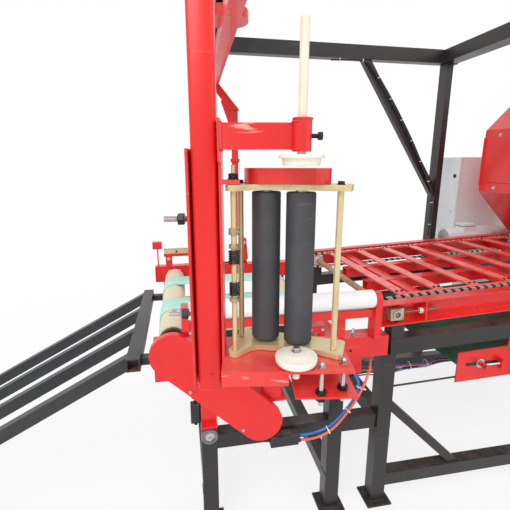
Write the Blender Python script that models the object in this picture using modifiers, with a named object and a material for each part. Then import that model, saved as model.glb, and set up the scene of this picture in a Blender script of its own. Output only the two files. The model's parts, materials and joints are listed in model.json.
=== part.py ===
"""Round-bale film wrapping machine: a roller table with a satellite arm that carries the
film stretching cage, a slat conveyor and gantry on the infeed side, and a discharge ramp.

World frame: metres, +Z up, +X towards the infeed, +Y towards the far side.  The model is
built about the rotor axis and then moved so that its origin is the bottom centre of its box.
"""
import math

import bmesh
import bpy
from mathutils import Matrix, Vector

for old in list(bpy.data.objects):
    bpy.data.objects.remove(old, do_unlink=True)

# ---------------------------------------------------------------- driving dimensions (metres)
GAP = 0.0005                 # clearance left between pieces that touch
STAND_TUBE = 0.060           # square tube of the black stands
FOOT_PLATE = 0.110
RAIL_TOP = 0.432             # top of the stand's lower rails

ROLLER_SPACING = 0.540       # between the two table roller axes
ROLLER_RADIUS = 0.054
ROLLER_Z = 0.795
ROLLER_NEAR, ROLLER_FAR = -0.400, 0.440
SHAFT_RADIUS = 0.012
BELT_WALL = 0.003
BELT_WIDTH = 0.138
HOSE_RADIUS = 0.005

BEAM_FRONT, BEAM_DEPTH = -0.490, 0.075
BEAM_BOTTOM, BEAM_TOP = 0.703, 0.788
BEAM_RIGHT = 0.557
REAR_FRONT, REAR_DEPTH = 0.455, 0.060
REAR_BOTTOM, REAR_TOP = 0.770, 0.855
REAR_LEFT, REAR_RIGHT = -0.380, 0.500

SIDE_ROLLER_RADIUS = 0.034
SIDE_ROLLER_Z = 0.944
SIDE_ROLLER_LEFT, SIDE_ROLLER_RIGHT = -0.205, 0.477

GUARD_RADIUS = 0.079
GUARD_DEPTH = 0.029
GUARD_WALL = 0.003
PINION_X, PINION_Z = 0.046, 0.492
SPROCKET_RADIUS = 0.040

RAMP_X, RAMP_Z = -0.414, 0.7275
RAMP_TUBE = 0.050
RAMP_SLOPE = math.radians(28.0)
RAMP_LENGTH = 1.230
RAMP_RAILS = 4

CONVEYOR_TILT = math.radians(2.66)
SLAT_PITCH = 0.172
SLAT_COUNT = 8
SLAT_WIDTH, SLAT_THICKNESS, SLAT_HALF = 0.044, 0.008, 0.388
FIRST_SLAT_X, FIRST_SLAT_Z = 0.661, 0.922
TRACK_RADIUS = 0.034         # sprockets of the slat conveyor
CHAIN_Y, CHAIN_WIDTH, CHAIN_WALL = 0.410, 0.014, 0.011
TAIL_U, HEAD_U = -0.076, 1.289
SHAFT_W = -0.050
RAIL_HEIGHT, RAIL_DEPTH, RAIL_WALL = 0.089, 0.050, 0.005
RAIL_WEB, RAIL_TOP_W = 0.446, -0.001
RAIL_LEFT, RAIL_RIGHT = -0.153, 1.370

POST_X, POST_Y = 1.500, 0.650
POST_WIDTH, POST_DEPTH = 0.040, 0.080
GANTRY_BOTTOM, GANTRY_TOP = 2.060, 2.140

ARM_RADIUS = 1.0505          # rotor axis to column axis
ARM_ANGLE = math.radians(-9.53)
COLUMN = 0.046
COLUMN_BOTTOM, COLUMN_TOP = 0.988, 1.800
SHOULDER = 0.143             # sideways offset of the shoulder at each end of the rotor beam
ROTOR_BOTTOM, ROTOR_TOP = 1.950, 2.020
ROTOR_SHAFT = 0.025

PIVOT_T, PIVOT_N = 0.052, 1.069
PIVOT_RADIUS = 0.0055
CAGE_ANGLE = math.radians(-18.0)
CAGE_LOW, CAGE_HIGH = 1.068, 1.390
PLATE = 0.011
STRETCH_RADIUS = 0.0285
SLOW_A, FAST_A, STRETCH_B = 0.043, 0.1115, 0.070
GEAR_RATIO = 1.15            # turns of the fast roller for each turn of the slow one
FILM_T, FILM_N = 0.168, 1.109
FILM_ROD_RADIUS = 0.0075
CONE_RADIUS = 0.039          # of the cone that slides past the gear cover
CONE_CLEARANCE, SCALLOP_WALL = 0.0008, 0.0014
SHELF_TOP = 1.067
LIP_END, LIP_BACK = 0.152, 1.088     # where the shelf's front lip turns back, and how far
STUDS = ((0.215, 1.122), (0.260, 1.106))

RETURN_BELT_Z = 0.602
CHAMBER_X, CHAMBER_Z, CHAMBER_FLATS = 2.100, 1.456, 0.890
CHAMBER_WIDTH = 0.840
CABINET = (0.160, 0.320, 0.760)   # X, Y, Z
CABINET_LEFT, CABINET_NEAR, CABINET_LOW = 1.745, 0.700, 0.727

# ---------------------------------------------------------------- collections and materials
MACHINE = bpy.data.collections.new("bale_wrapper")
TOOLS = bpy.data.collections.new("cutters")
for group in (MACHINE, TOOLS):
    bpy.context.scene.collection.children.link(group)


def paint(name, colour, roughness=0.45, metallic=0.0):
    material = bpy.data.materials.new(name)
    material.use_nodes = True
    shader = material.node_tree.nodes["Principled BSDF"]
    shader.inputs["Base Color"].default_value = (*colour, 1.0)
    shader.inputs["Roughness"].default_value = roughness
    shader.inputs["Metallic"].default_value = metallic
    return material


RED = paint("red paint", (0.78, 0.035, 0.03), 0.38)
BLACK = paint("black paint", (0.032, 0.028, 0.028), 0.42)
CHARCOAL = paint("charcoal paint", (0.05, 0.052, 0.056), 0.5)
ZINC = paint("yellow zinc", (0.72, 0.60, 0.34), 0.35, 0.7)
STEEL = paint("bright steel", (0.55, 0.54, 0.52), 0.3, 1.0)
RUST = paint("rusty shaft", (0.42, 0.25, 0.14), 0.6, 0.3)
DARK_STEEL = paint("black oxide", (0.03, 0.03, 0.032), 0.4, 0.6)
RUBBER = paint("ribbed rubber", (0.07, 0.07, 0.072), 0.75)
NYLON = paint("cream nylon", (0.88, 0.84, 0.72), 0.45)
WHITE = paint("white tube", (0.92, 0.92, 0.92), 0.35)
CREAM = paint("cream sleeve", (0.80, 0.76, 0.64), 0.5)
MINT = paint("mint belt", (0.35, 0.72, 0.60), 0.55)
GREEN = paint("green belt", (0.01, 0.07, 0.045), 0.7)
GREY = paint("machine grey", (0.62, 0.65, 0.66), 0.45)
BLUE = paint("blue hose", (0.03, 0.22, 0.65), 0.35)
ORANGE = paint("orange hose", (0.80, 0.16, 0.10), 0.35)


# ---------------------------------------------------------------- frames and shape helpers
def frame(name, parent=None, at=(0, 0, 0), turn=(0, 0, 0)):
    empty = bpy.data.objects.new(name, None)
    MACHINE.objects.link(empty)
    empty.parent = parent
    empty.location = at
    empty.rotation_euler = turn
    return empty


ORIGIN = frame("machine_origin")
CONVEYOR = frame("conveyor_axis", ORIGIN, (FIRST_SLAT_X, 0, FIRST_SLAT_Z), (0, -CONVEYOR_TILT, 0))
ROTOR = frame("rotor_axis", ORIGIN, (0, 0, 0), (0, 0, ARM_ANGLE))
CAGE = frame("cage_pivot", ROTOR, (PIVOT_T, -PIVOT_N, 0), (0, 0, CAGE_ANGLE))


def shape(mesh, at=(0, 0, 0), turn=(0, 0, 0)):
    """A loose member, kept with the cutters until a piece takes it as its body."""
    member = bpy.data.objects.new("member", mesh)
    TOOLS.objects.link(member)
    member.hide_render = True
    member.display_type = "WIRE"
    member.location = at
    member.rotation_euler = turn
    return member


def box(low, high, turn=(0, 0, 0)):
    """A box between two opposite corners, turned about its centre."""
    body = bmesh.new()
    bmesh.ops.create_cube(body, size=1.0)
    size = [b - a for a, b in zip(low, high)]
    bmesh.ops.scale(body, vec=size, verts=body.verts)
    mesh = bpy.data.meshes.new("box")
    body.to_mesh(mesh)
    body.free()
    return shape(mesh, [(a + b) / 2 for a, b in zip(low, high)], turn)


AXIS_TURN = {"X": (0, math.pi / 2, 0), "Y": (math.pi / 2, 0, 0), "Z": (0, 0, 0)}


def rod(radius, centre, axis, start, end, sides=24, tip=None):
    """A cylinder or cone along X, Y or Z; the centre holds the other two coordinates."""
    body = bmesh.new()
    wide, narrow = radius, radius if tip is None else tip
    if axis == "Y":
        wide, narrow = narrow, wide
    bmesh.ops.create_cone(body, cap_ends=True, segments=sides, radius1=wide, radius2=narrow,
                          depth=end - start)
    mesh = bpy.data.meshes.new("rod")
    body.to_mesh(mesh)
    body.free()
    middle = (start + end) / 2
    first, second = centre
    at = {"X": (middle, first, second), "Y": (first, middle, second), "Z": (first, second, middle)}
    return shape(mesh, at[axis], AXIS_TURN[axis])


def bar(start, end, width, height):
    """A square bar between two points of one XZ plane or along any direction."""
    start, end = Vector(start), Vector(end)
    run = end - start
    body = bmesh.new()
    bmesh.ops.create_cube(body, size=1.0)
    bmesh.ops.scale(body, vec=(run.length, width, height), verts=body.verts)
    mesh = bpy.data.meshes.new("bar")
    body.to_mesh(mesh)
    body.free()
    member = shape(mesh, (start + end) / 2)
    member.rotation_euler = run.to_track_quat("X", "Z").to_euler()
    return member


def solid_of(curve, at, turn):
    """Turns a curve object into a welded mesh member."""
    body = bpy.data.objects.new("outline", curve)
    TOOLS.objects.link(body)
    graph = bpy.context.evaluated_depsgraph_get()
    mesh = bpy.data.meshes.new_from_object(body.evaluated_get(graph))
    bpy.data.objects.remove(body, do_unlink=True)
    weld = bmesh.new()
    weld.from_mesh(mesh)
    bmesh.ops.remove_doubles(weld, verts=weld.verts, dist=0.00001)
    weld.to_mesh(mesh)
    weld.free()
    return shape(mesh, at, turn)


def plate(outlines, thickness, at=(0, 0, 0), turn=(0, 0, 0)):
    """A flat plate of one or more closed outlines, centred on its own plane."""
    curve = bpy.data.curves.new("outline", "CURVE")
    curve.dimensions = "2D"
    curve.fill_mode = "BOTH"
    curve.extrude = thickness / 2
    for points in outlines:
        spline = curve.splines.new("POLY")
        spline.points.add(len(points) - 1)
        for point, (x, y) in zip(spline.points, points):
            point.co = (x, y, 0, 1)
        spline.use_cyclic_u = True
    return solid_of(curve, at, turn)


def arc(x, y, radius, start, end, steps):
    """Points of an arc, angles in degrees."""
    angles = [math.radians(start + (end - start) * i / steps) for i in range(steps + 1)]
    return [(x + radius * math.cos(a), y + radius * math.sin(a)) for a in angles]


def stadium(first, second, radius, steps=12):
    """The outline of a loop round two equal circles."""
    lean = math.degrees(math.atan2(second[1] - first[1], second[0] - first[0]))
    return (arc(*first, radius, lean + 90, lean + 270, steps)
            + arc(*second, radius, lean - 90, lean + 90, steps))


XZ_TURN = (math.pi / 2, 0, 0)      # lays a plate's outline in the XZ plane


def turned(profile, at=(0, 0, 0), turn=(0, 0, 0), steps=24):
    """A solid of revolution about Z; the profile runs down its outer side from the axis."""
    body = bmesh.new()
    points = [body.verts.new((radius, 0, height)) for radius, height in profile]
    for first, second in zip(points, points[1:]):
        body.edges.new((first, second))
    mesh = bpy.data.meshes.new("profile")
    body.to_mesh(mesh)
    body.free()
    member = shape(mesh, at, turn)
    screw = member.modifiers.new("Screw", "SCREW")
    screw.steps = screw.render_steps = steps
    screw.use_merge_vertices = True
    screw.merge_threshold = 0.00005
    return member


def wire(points, radius, closed=False, sides=2):
    """A round bar, rope or coil along points."""
    curve = bpy.data.curves.new("wire", "CURVE")
    curve.dimensions = "3D"
    curve.bevel_depth = radius
    curve.bevel_resolution = sides
    curve.use_fill_caps = not closed
    spline = curve.splines.new("POLY")
    spline.points.add(len(points) - 1)
    for point, place in zip(spline.points, points):
        point.co = (*place, 1)
    spline.use_cyclic_u = closed
    return solid_of(curve, (0, 0, 0), (0, 0, 0))


def smooth_route(points, steps):
    """Catmull-Rom points through a cord's chosen route."""
    ends = [points[0], *points, points[-1]]
    route = []
    for before, start, end, after in zip(ends, ends[1:], ends[2:], ends[3:]):
        p0, p1, p2, p3 = (Vector(p) for p in (before, start, end, after))
        for i in range(steps):
            t = i / steps
            route.append(0.5 * (2 * p1 + (p2 - p0) * t + (2 * p0 - 5 * p1 + 4 * p2 - p3) * t * t
                                + (3 * p1 - p0 - 3 * p2 + p3) * t ** 3))
    return route + [Vector(points[-1])]


def piece(name, material, members, cuts=(), within=None, origin=None):
    """Welds members into one named node and takes the cuts out of it."""
    body, *others = members
    for member in [*members, *cuts]:
        member.parent = within or ORIGIN
    TOOLS.objects.unlink(body)
    MACHINE.objects.link(body)
    body.name = name
    body.hide_render = False
    body.display_type = "TEXTURED"
    body.data.materials.clear()
    body.data.materials.append(material)
    if origin is not None:
        move = Matrix.Translation(Vector(origin))
        body.data.transform(move.inverted() @ body.matrix_basis)
        body.matrix_basis = move
    for operation, tools in (("UNION", others), ("DIFFERENCE", cuts)):
        for tool in tools:
            step = body.modifiers.new(operation.title(), "BOOLEAN")
            step.operation = operation
            step.object = tool
    for polygon in body.data.polygons:
        polygon.use_smooth = False
    return body


def near_and_far(build):
    """Two members from one builder, on the near side (-1) and on the far side (+1)."""
    return [build(side) for side in (-1, 1)]


# ---------------------------------------------------------------- stands
def leg(x, y, top, width=STAND_TUBE, depth=STAND_TUBE):
    return box((x - width / 2, y - depth / 2, 0.004), (x + width / 2, y + depth / 2, top))


def foot(x, y, size=FOOT_PLATE):
    return box((x - size / 2, y - size / 2, 0.0), (x + size / 2, y + size / 2, 0.008))


STAND_Y = 0.4525             # leg centres, under the table's two long beams
LEFT_LEG, RIGHT_LEG = -0.150, 0.356
CONVEYOR_LEG, INFEED_LEG = 0.567, 1.930


def build_wrapper_stand():
    half = STAND_TUBE / 2
    members = []
    for y, top in ((-STAND_Y, BEAM_BOTTOM - GAP), (STAND_Y + 0.0325, REAR_BOTTOM - GAP)):
        for x in (LEFT_LEG, RIGHT_LEG):
            members += [leg(x, y, top), foot(x, y)]
        members.append(box((LEFT_LEG, y - half + 0.002, RAIL_TOP - STAND_TUBE),
                           (CONVEYOR_LEG - half - GAP, y + half - 0.002, RAIL_TOP)))
    for x in (LEFT_LEG, RIGHT_LEG):
        members.append(box((x - half + 0.002, -STAND_Y, 0.120), (x + half - 0.002, STAND_Y + 0.030, 0.176)))
    piece("wrapper_stand", BLACK, members)


def build_conveyor_stand():
    half = STAND_TUBE / 2
    rail = 0.460
    members = []
    for side in (-1, 1):
        y = side * rail
        members += [box((RAIL_LEFT + 0.053, y - half, -0.217), (RAIL_RIGHT - 0.02, y + half, -0.152))]
        for u in (RAIL_LEFT + 0.055, RAIL_RIGHT - 0.080):
            members.append(box((u, y - half + 0.002, -0.155), (u + 0.055, y + half - 0.002, -0.0905)))
    stand = piece("conveyor_stand", BLACK, members, within=CONVEYOR)
    members = []
    for side in (-1, 1):
        y = side * rail
        members += [leg(CONVEYOR_LEG, y, BEAM_BOTTOM - GAP), foot(CONVEYOR_LEG, y)]
        members += [leg(INFEED_LEG, y, 0.790), foot(INFEED_LEG, y)]
        members.append(box((CONVEYOR_LEG, y - half + 0.002, 0.080), (INFEED_LEG, y + half - 0.002, 0.138)))
        members.append(bar((CONVEYOR_LEG, y, 0.495), (CONVEYOR_LEG + 0.42, y, 0.085), 0.038, 0.036))
    for x in (CONVEYOR_LEG, INFEED_LEG):
        members.append(box((x - half + 0.002, -rail, RAIL_TOP - STAND_TUBE),
                           (x + half - 0.002, rail, RAIL_TOP)))
    for member in members:
        member.parent = ORIGIN
        step = stand.modifiers.new("Union", "BOOLEAN")
        step.operation = "UNION"
        step.object = member


def build_gantry():
    members = []
    half = POST_WIDTH / 2
    for side in (-1, 1):
        y = side * POST_Y
        members.append(box((POST_X - half, y - POST_DEPTH / 2, 0.004),
                           (POST_X + half, y + POST_DEPTH / 2, GANTRY_TOP - 0.004)))
        members.append(foot(POST_X, y, 0.160))
        members.append(box((-0.060, y - 0.030, GANTRY_BOTTOM), (POST_X + 0.060, y + 0.030, GANTRY_TOP)))
        members.append(bar((POST_X - 0.005, y, 1.236), (0.910, y, 2.100), 0.040, 0.050))
    for x in (0.0, POST_X):
        members.append(box((x - 0.050, -POST_Y, GANTRY_BOTTOM + 0.002),
                           (x + 0.050, POST_Y, GANTRY_TOP - 0.002)))
    bore = rod(ROTOR_SHAFT + 0.003, (0, 0), "Z", GANTRY_BOTTOM - 0.05, GANTRY_TOP + 0.05)
    piece("gantry_frame", BLACK, members, [bore])


# ---------------------------------------------------------------- wrapping table
LEFT_ROLLER, RIGHT_ROLLER = -ROLLER_SPACING / 2, ROLLER_SPACING / 2
TIE_LEFT = -0.335


def build_table_frame():
    back = BEAM_FRONT + BEAM_DEPTH
    rear_back = REAR_FRONT + REAR_DEPTH
    members = [
        box((-0.190, BEAM_FRONT, BEAM_BOTTOM), (BEAM_RIGHT, back, BEAM_TOP)),
        box((REAR_LEFT, REAR_FRONT, REAR_BOTTOM), (REAR_RIGHT, rear_back, REAR_TOP)),
        box((TIE_LEFT, BEAM_FRONT - 0.002, 0.690), (-0.182, BEAM_FRONT + 0.055, ROLLER_Z + 0.040)),
        box((TIE_LEFT, BEAM_FRONT + 0.002, 0.684), (TIE_LEFT + 0.050, rear_back - 0.002, 0.734)),
        box((TIE_LEFT, REAR_FRONT + 0.002, 0.700), (TIE_LEFT + 0.050, rear_back - 0.002, 0.790)),
        box((RIGHT_ROLLER - 0.036, BEAM_FRONT + 0.030, 0.750), (RIGHT_ROLLER + 0.036, back + 0.008, 0.836)),
        box((0.405, BEAM_FRONT + 0.010, 0.630), (0.455, rear_back - 0.010, 0.702)),
        box((0.408, BEAM_FRONT + 0.012, 0.690), (0.452, back - 0.010, 0.720)),
        box((0.408, REAR_FRONT + 0.012, 0.690), (0.452, rear_back - 0.012, 0.790)),
        box((0.060, BEAM_FRONT + 0.015, PINION_Z + 0.057), (0.130, back - 0.012, 0.710)),
        box((-0.030, BEAM_FRONT + 0.010, PINION_Z + 0.0555), (0.150, -0.330, PINION_Z + 0.0635)),
    ]
    bore = SHAFT_RADIUS + 0.0012
    cuts = [
        rod(bore, (LEFT_ROLLER, ROLLER_Z), "Y", -0.52, -0.40),
        rod(bore, (RIGHT_ROLLER, ROLLER_Z), "Y", -0.48, -0.38),
        rod(bore, (LEFT_ROLLER, ROLLER_Z), "Y", 0.40, 0.53),
        rod(bore, (RIGHT_ROLLER, ROLLER_Z), "Y", 0.40, 0.53),
        rod(0.006, (0.400, 0.735), "Y", -0.52, -0.47, 12),
    ]
    piece("table_frame", RED, members, cuts)


def roller_profile(near, far, radius, shaft, near_end, far_end):
    """Half section along the axis, from the far end down to the near end."""
    return [(0, far_end), (shaft, far_end), (shaft, far), (radius - 0.002, far), (radius, far - 0.002),
            (radius, near + 0.002), (radius - 0.002, near), (shaft, near), (shaft, near_end), (0, near_end)]


def build_table_rollers():
    lay_flat = (-math.pi / 2, 0, 0)
    sprocket = [(0, -0.4975), (SPROCKET_RADIUS - 0.003, -0.4975), (SPROCKET_RADIUS, -0.5005),
                (SPROCKET_RADIUS, -0.5065), (SPROCKET_RADIUS - 0.003, -0.5095), (0, -0.5095)]
    for name, x, near_end in (("table_roller_left", LEFT_ROLLER, -0.500),
                              ("table_roller_right", RIGHT_ROLLER, -0.465)):
        profile = roller_profile(ROLLER_NEAR, ROLLER_FAR, ROLLER_RADIUS, SHAFT_RADIUS, near_end, 0.500)
        members = [turned(profile, (x, 0, ROLLER_Z), lay_flat, 24)]
        if x < 0:
            members.append(turned(sprocket, (x, 0, ROLLER_Z), lay_flat, 24))
        piece(name, CREAM, members, origin=None)
    for name, start in (("table_belt_near", -0.214), ("table_belt_far", 0.126)):
        ends = ((LEFT_ROLLER, ROLLER_Z), (RIGHT_ROLLER, ROLLER_Z))
        loops = [stadium(*ends, ROLLER_RADIUS + 0.0008 + BELT_WALL, 14),
                 stadium(*ends, ROLLER_RADIUS + 0.0008, 14)]
        piece(name, MINT, [plate(loops, BELT_WIDTH, (0, start + BELT_WIDTH / 2, 0), XZ_TURN)])


def build_drive():
    ends = ((LEFT_ROLLER, ROLLER_Z), (PINION_X, PINION_Z))
    back = BEAM_FRONT - 0.0025
    front = back - GUARD_DEPTH
    shell = plate([stadium(*ends, GUARD_RADIUS)], GUARD_DEPTH, (0, (front + back) / 2, 0), XZ_TURN)
    hollow = plate([stadium(*ends, GUARD_RADIUS - GUARD_WALL)], GUARD_DEPTH,
                   (0, (front + back) / 2 + GUARD_WALL, 0), XZ_TURN)
    piece("drive_guard", RED, [shell], [hollow])
    loops = [stadium(*ends, SPROCKET_RADIUS + 0.0065, 14), stadium(*ends, SPROCKET_RADIUS + 0.0008, 14)]
    piece("table_drive_chain", DARK_STEEL, [plate(loops, 0.009, (0, -0.5035, 0), XZ_TURN)])
    lay_flat = (-math.pi / 2, 0, 0)
    pinion = [(0, -0.4500), (SHAFT_RADIUS, -0.4500), (SHAFT_RADIUS, -0.4975),
              (SPROCKET_RADIUS - 0.003, -0.4975),
              (SPROCKET_RADIUS, -0.5005), (SPROCKET_RADIUS, -0.5065), (SPROCKET_RADIUS - 0.003, -0.5095),
              (0, -0.5095)]
    piece("table_pinion", DARK_STEEL, [turned(pinion, (PINION_X, 0, PINION_Z), lay_flat, 24)])
    gearbox = box((PINION_X - 0.045, -0.480, PINION_Z - 0.056),
                  (PINION_X + 0.045, -0.380, PINION_Z + 0.055))
    motor = rod(0.052, (PINION_X, PINION_Z), "Y", -0.385, -0.130, 24)
    cowl = rod(0.056, (PINION_X, PINION_Z), "Y", -0.150, -0.090, 24)
    terminal = box((PINION_X + 0.040, -0.320, PINION_Z - 0.030),
                   (PINION_X + 0.080, -0.220, PINION_Z + 0.040))
    bore = rod(SHAFT_RADIUS + 0.0012, (PINION_X, PINION_Z), "Y", -0.500, -0.440)
    piece("table_gearmotor", GREY, [gearbox, motor, cowl, terminal], [bore])


def build_side_roller():
    y = BEAM_FRONT
    shaft = 0.008
    nut = 0.013
    roller = [(0, SIDE_ROLLER_RIGHT + 0.018), (shaft, SIDE_ROLLER_RIGHT + 0.018),
              (shaft, SIDE_ROLLER_RIGHT),
              (SIDE_ROLLER_RADIUS, SIDE_ROLLER_RIGHT), (SIDE_ROLLER_RADIUS, SIDE_ROLLER_LEFT),
              (shaft, SIDE_ROLLER_LEFT), (shaft, SIDE_ROLLER_LEFT - 0.032), (nut, SIDE_ROLLER_LEFT - 0.033),
              (nut, SIDE_ROLLER_LEFT - 0.043), (shaft, SIDE_ROLLER_LEFT - 0.044),
              (shaft, SIDE_ROLLER_LEFT - 0.058), (0, SIDE_ROLLER_LEFT - 0.058)]
    piece("side_roller", WHITE, [turned(roller, (0, y, SIDE_ROLLER_Z), (0, math.pi / 2, 0), 24)])
    left = SIDE_ROLLER_LEFT - 0.030
    right = SIDE_ROLLER_RIGHT + 0.002
    members = [
        box((left + 0.004, y - 0.014, 0.875), (right + 0.012, y + 0.016, 0.905)),
        box((right, y - 0.028, BEAM_TOP + GAP), (right + 0.026, y + 0.028, SIDE_ROLLER_Z)),
        rod(0.028, (y, SIDE_ROLLER_Z), "X", right + 0.0004, right + 0.0256, 32),
        box((left, y + 0.001, ROLLER_Z + 0.040 + GAP), (left + 0.025, y + 0.034, 0.900)),
        box((left + 0.0005, y - 0.025, 0.880), (left + 0.0245, y + 0.025, SIDE_ROLLER_Z + 0.022)),
        box((0.345, y + 0.004, BEAM_TOP + GAP), (0.375, y + 0.014, 0.890)),
    ]
    cuts = [rod(shaft + 0.001, (y, SIDE_ROLLER_Z), "X", left - 0.01, left + 0.04),
            rod(shaft + 0.001, (y, SIDE_ROLLER_Z), "X", right - 0.01, right + 0.0195)]
    piece("side_roller_bracket", RED, members, cuts)


def build_idler():
    x, z = -0.150, 0.450
    plate_y = -STAND_Y - STAND_TUBE / 2
    members = [box((x - 0.029, plate_y - 0.008, z - 0.005), (x + 0.029, plate_y - GAP, 0.640)),
               box((x - 0.029, plate_y - 0.034, z + 0.040), (x + 0.029, plate_y - 0.005, z + 0.046)),
               rod(0.005, (x, z), "Y", plate_y - 0.042, plate_y - 0.004, 16)]
    piece("idler_bracket", RED, members)
    tyre = [(0.0065, 0.0105), (0.012, 0.0105), (0.018, 0.008), (0.029, 0.0085), (0.0305, 0.006),
            (0.0305, -0.006), (0.029, -0.0085), (0.018, -0.008), (0.012, -0.0105), (0.0065, -0.0105),
            (0.0065, 0.0105)]
    piece("idler_wheel", RUBBER, [turned(tyre, (x, plate_y - 0.022, z), (-math.pi / 2, 0, 0), 24)])
    switch_x = LEFT_LEG - STAND_TUBE / 2 - GAP
    members = [box((switch_x - 0.036, -0.470, 0.485), (switch_x, -0.435, 0.560)),
               rod(0.005, (switch_x - 0.018, -0.452), "Z", 0.558, 0.574, 12),
               rod(0.007, (switch_x - 0.018, -0.452), "Z", 0.470, 0.487, 12)]
    piece("limit_switch", DARK_STEEL, members)


# ---------------------------------------------------------------- film cutter on the rear beam
CUTTER_X, CUTTER_Z = -0.300, 0.905
CLAMP_X, CLAMP_Z = 0.140, 0.985


def build_cutter():
    y = REAR_FRONT + 0.030
    base = REAR_TOP + GAP
    members = [
        box((-0.378, y - 0.024, base), (CLAMP_X + 0.022, y + 0.025, base + 0.006)),
        box((CLAMP_X - 0.015, y - 0.004, base + 0.002), (CLAMP_X + 0.020, y + 0.024, CLAMP_Z + 0.015)),
        rod(0.006, (CLAMP_X, CLAMP_Z), "Y", y - 0.030, y, 16),
        box((CUTTER_X - 0.018, y - 0.022, base + 0.004), (CUTTER_X + 0.018, y - 0.014, CUTTER_Z + 0.018)),
        box((CUTTER_X - 0.018, y + 0.014, base + 0.004), (CUTTER_X + 0.018, y + 0.022, CUTTER_Z + 0.018)),
        rod(0.005, (CUTTER_X, CUTTER_Z), "Y", y - 0.030, y + 0.030, 16),
        rod(0.004, (-0.362, y), "Z", base + 0.004, 0.970, 12),
        box((-0.388, y - 0.020, 0.963), (-0.336, y + 0.020, 1.003)),
    ]
    piece("cutter_bracket", RED, members)
    carrier = [box((CUTTER_X - 0.014, y - 0.012, CUTTER_Z - 0.016),
                   (CUTTER_X + 0.014, y + 0.012, CUTTER_Z + 0.016)),
               box((CUTTER_X - 0.028, y - 0.010, CUTTER_Z + 0.010), (-0.045, y + 0.010, CUTTER_Z + 0.026))]
    tooth, count = 0.0115, 24
    start = CUTTER_X - 0.026
    low, high = CUTTER_Z + 0.0265, CUTTER_Z + 0.052
    comb = [(start, low), (start + tooth * count, low)]
    for i in reversed(range(count)):
        comb += [(start + tooth * (i + 1), high), (start + tooth * (i + 0.5), high + 0.008)]
    comb.append((start, high))
    piece("cutter_carrier", RED, carrier, [rod(0.0062, (CUTTER_X, CUTTER_Z), "Y", y - 0.02, y + 0.02, 16)])
    piece("saw_blade", ZINC, [plate([comb], 0.003, (0, y - 0.003, 0), XZ_TURN)])
    jaw = (arc(CLAMP_X, CLAMP_Z, 0.028, 60, 190, 8) + arc(0.108, 0.893, 0.026, 180, 300, 6)
           + arc(0.148, 0.892, 0.018, -70, 10, 4))
    hole = rod(0.0072, (CLAMP_X, CLAMP_Z), "Y", y - 0.05, y + 0.01, 16)
    piece("film_clamp", RED, [plate([jaw], 0.014, (0, y - 0.0125, 0), XZ_TURN)], [hole])


# ---------------------------------------------------------------- discharge ramp
def build_ramp():
    half = RAMP_TUBE / 2
    near, far = -0.434, 0.378
    drop = Vector((-math.cos(RAMP_SLOPE), 0, -math.sin(RAMP_SLOPE))) * RAMP_LENGTH
    low_x, low_z = RAMP_X + drop.x, RAMP_Z + drop.z
    members = [box((RAMP_X - half, near, RAMP_Z - half), (RAMP_X + half, far, RAMP_Z + half))]
    for i in range(RAMP_RAILS):
        y = near + 0.060 + (far - near - 0.085) * i / (RAMP_RAILS - 1)
        members.append(bar((RAMP_X, y, RAMP_Z), (low_x, y, low_z), 0.040, 0.048))
    members.append(box((low_x - half, near + 0.020, low_z - half),
                       (low_x + half, far - 0.006, low_z + half)))
    for y in (near + 0.060, far - 0.040):
        members.append(box((RAMP_X, y - 0.019, RAMP_Z - 0.023), (TIE_LEFT - GAP, y + 0.019, 0.733)))
        members.append(box((low_x - 0.020, y - 0.020, 0.002), (low_x + 0.020, y + 0.020, low_z)))
        members.append(foot(low_x, y, 0.090))
    wall = 0.004
    pocket = box((RAMP_X - half + wall, near - 0.02, RAMP_Z - half + wall),
                 (RAMP_X + half - wall, near + 0.032, RAMP_Z + half - wall))
    piece("discharge_ramp", CHARCOAL, members, [pocket])


# ---------------------------------------------------------------- slat conveyor
def channel(side):
    """One side rail, its flanges turned outwards."""
    web, tip = side * RAIL_WEB, side * (RAIL_WEB + RAIL_DEPTH)
    inner = side * (RAIL_WEB + RAIL_WALL)
    low, high = RAIL_TOP_W - RAIL_HEIGHT, RAIL_TOP_W
    outline = [(web, low), (tip, low), (tip, low + RAIL_WALL), (inner, low + RAIL_WALL),
               (inner, high - RAIL_WALL), (tip, high - RAIL_WALL), (tip, high), (web, high)]
    if side < 0:
        outline.reverse()
    length = RAIL_RIGHT - RAIL_LEFT
    return plate([outline], length, ((RAIL_LEFT + RAIL_RIGHT) / 2, 0, 0), (math.pi / 2, 0, math.pi / 2))


def build_conveyor_frame():
    members = near_and_far(channel)
    web = RAIL_WEB + 0.002
    for u in (0.080, 0.600, 1.130):
        members.append(box((u, -web, -0.072), (u + 0.050, web, -0.028)))
    for side in (-1, 1):
        members.append(box((-0.030, side * 0.120 - 0.025, -0.076), (1.230, side * 0.120 + 0.025, -0.0245)))
        rib = side * (RAIL_WEB + 0.0255)
        members.append(box((0.040, rib - 0.0235, RAIL_TOP_W - RAIL_HEIGHT + 0.002),
                           (0.046, rib + 0.0235, RAIL_TOP_W - 0.002)))
    cuts = []
    for side in (-1, 1):
        slot = side * RAIL_WEB
        cuts.append(box((TAIL_U - 0.034, slot - 0.02, SHAFT_W - 0.018),
                        (TAIL_U + 0.045, slot + 0.02, SHAFT_W + 0.018)))
        cuts.append(box((HEAD_U - 0.018, slot - 0.02, SHAFT_W - 0.018),
                        (HEAD_U + 0.018, slot + 0.02, SHAFT_W + 0.018)))
        cuts.append(rod(0.0065, (side * (RAIL_WEB + 0.024), SHAFT_W), "X", 0.03, 0.06, 16))
        cuts.append(box((-0.05, side * 0.120 - 0.021, -0.072), (0.060, side * 0.120 + 0.021, -0.0285)))
    piece("conveyor_frame", RED, members, cuts, within=CONVEYOR)


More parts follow.
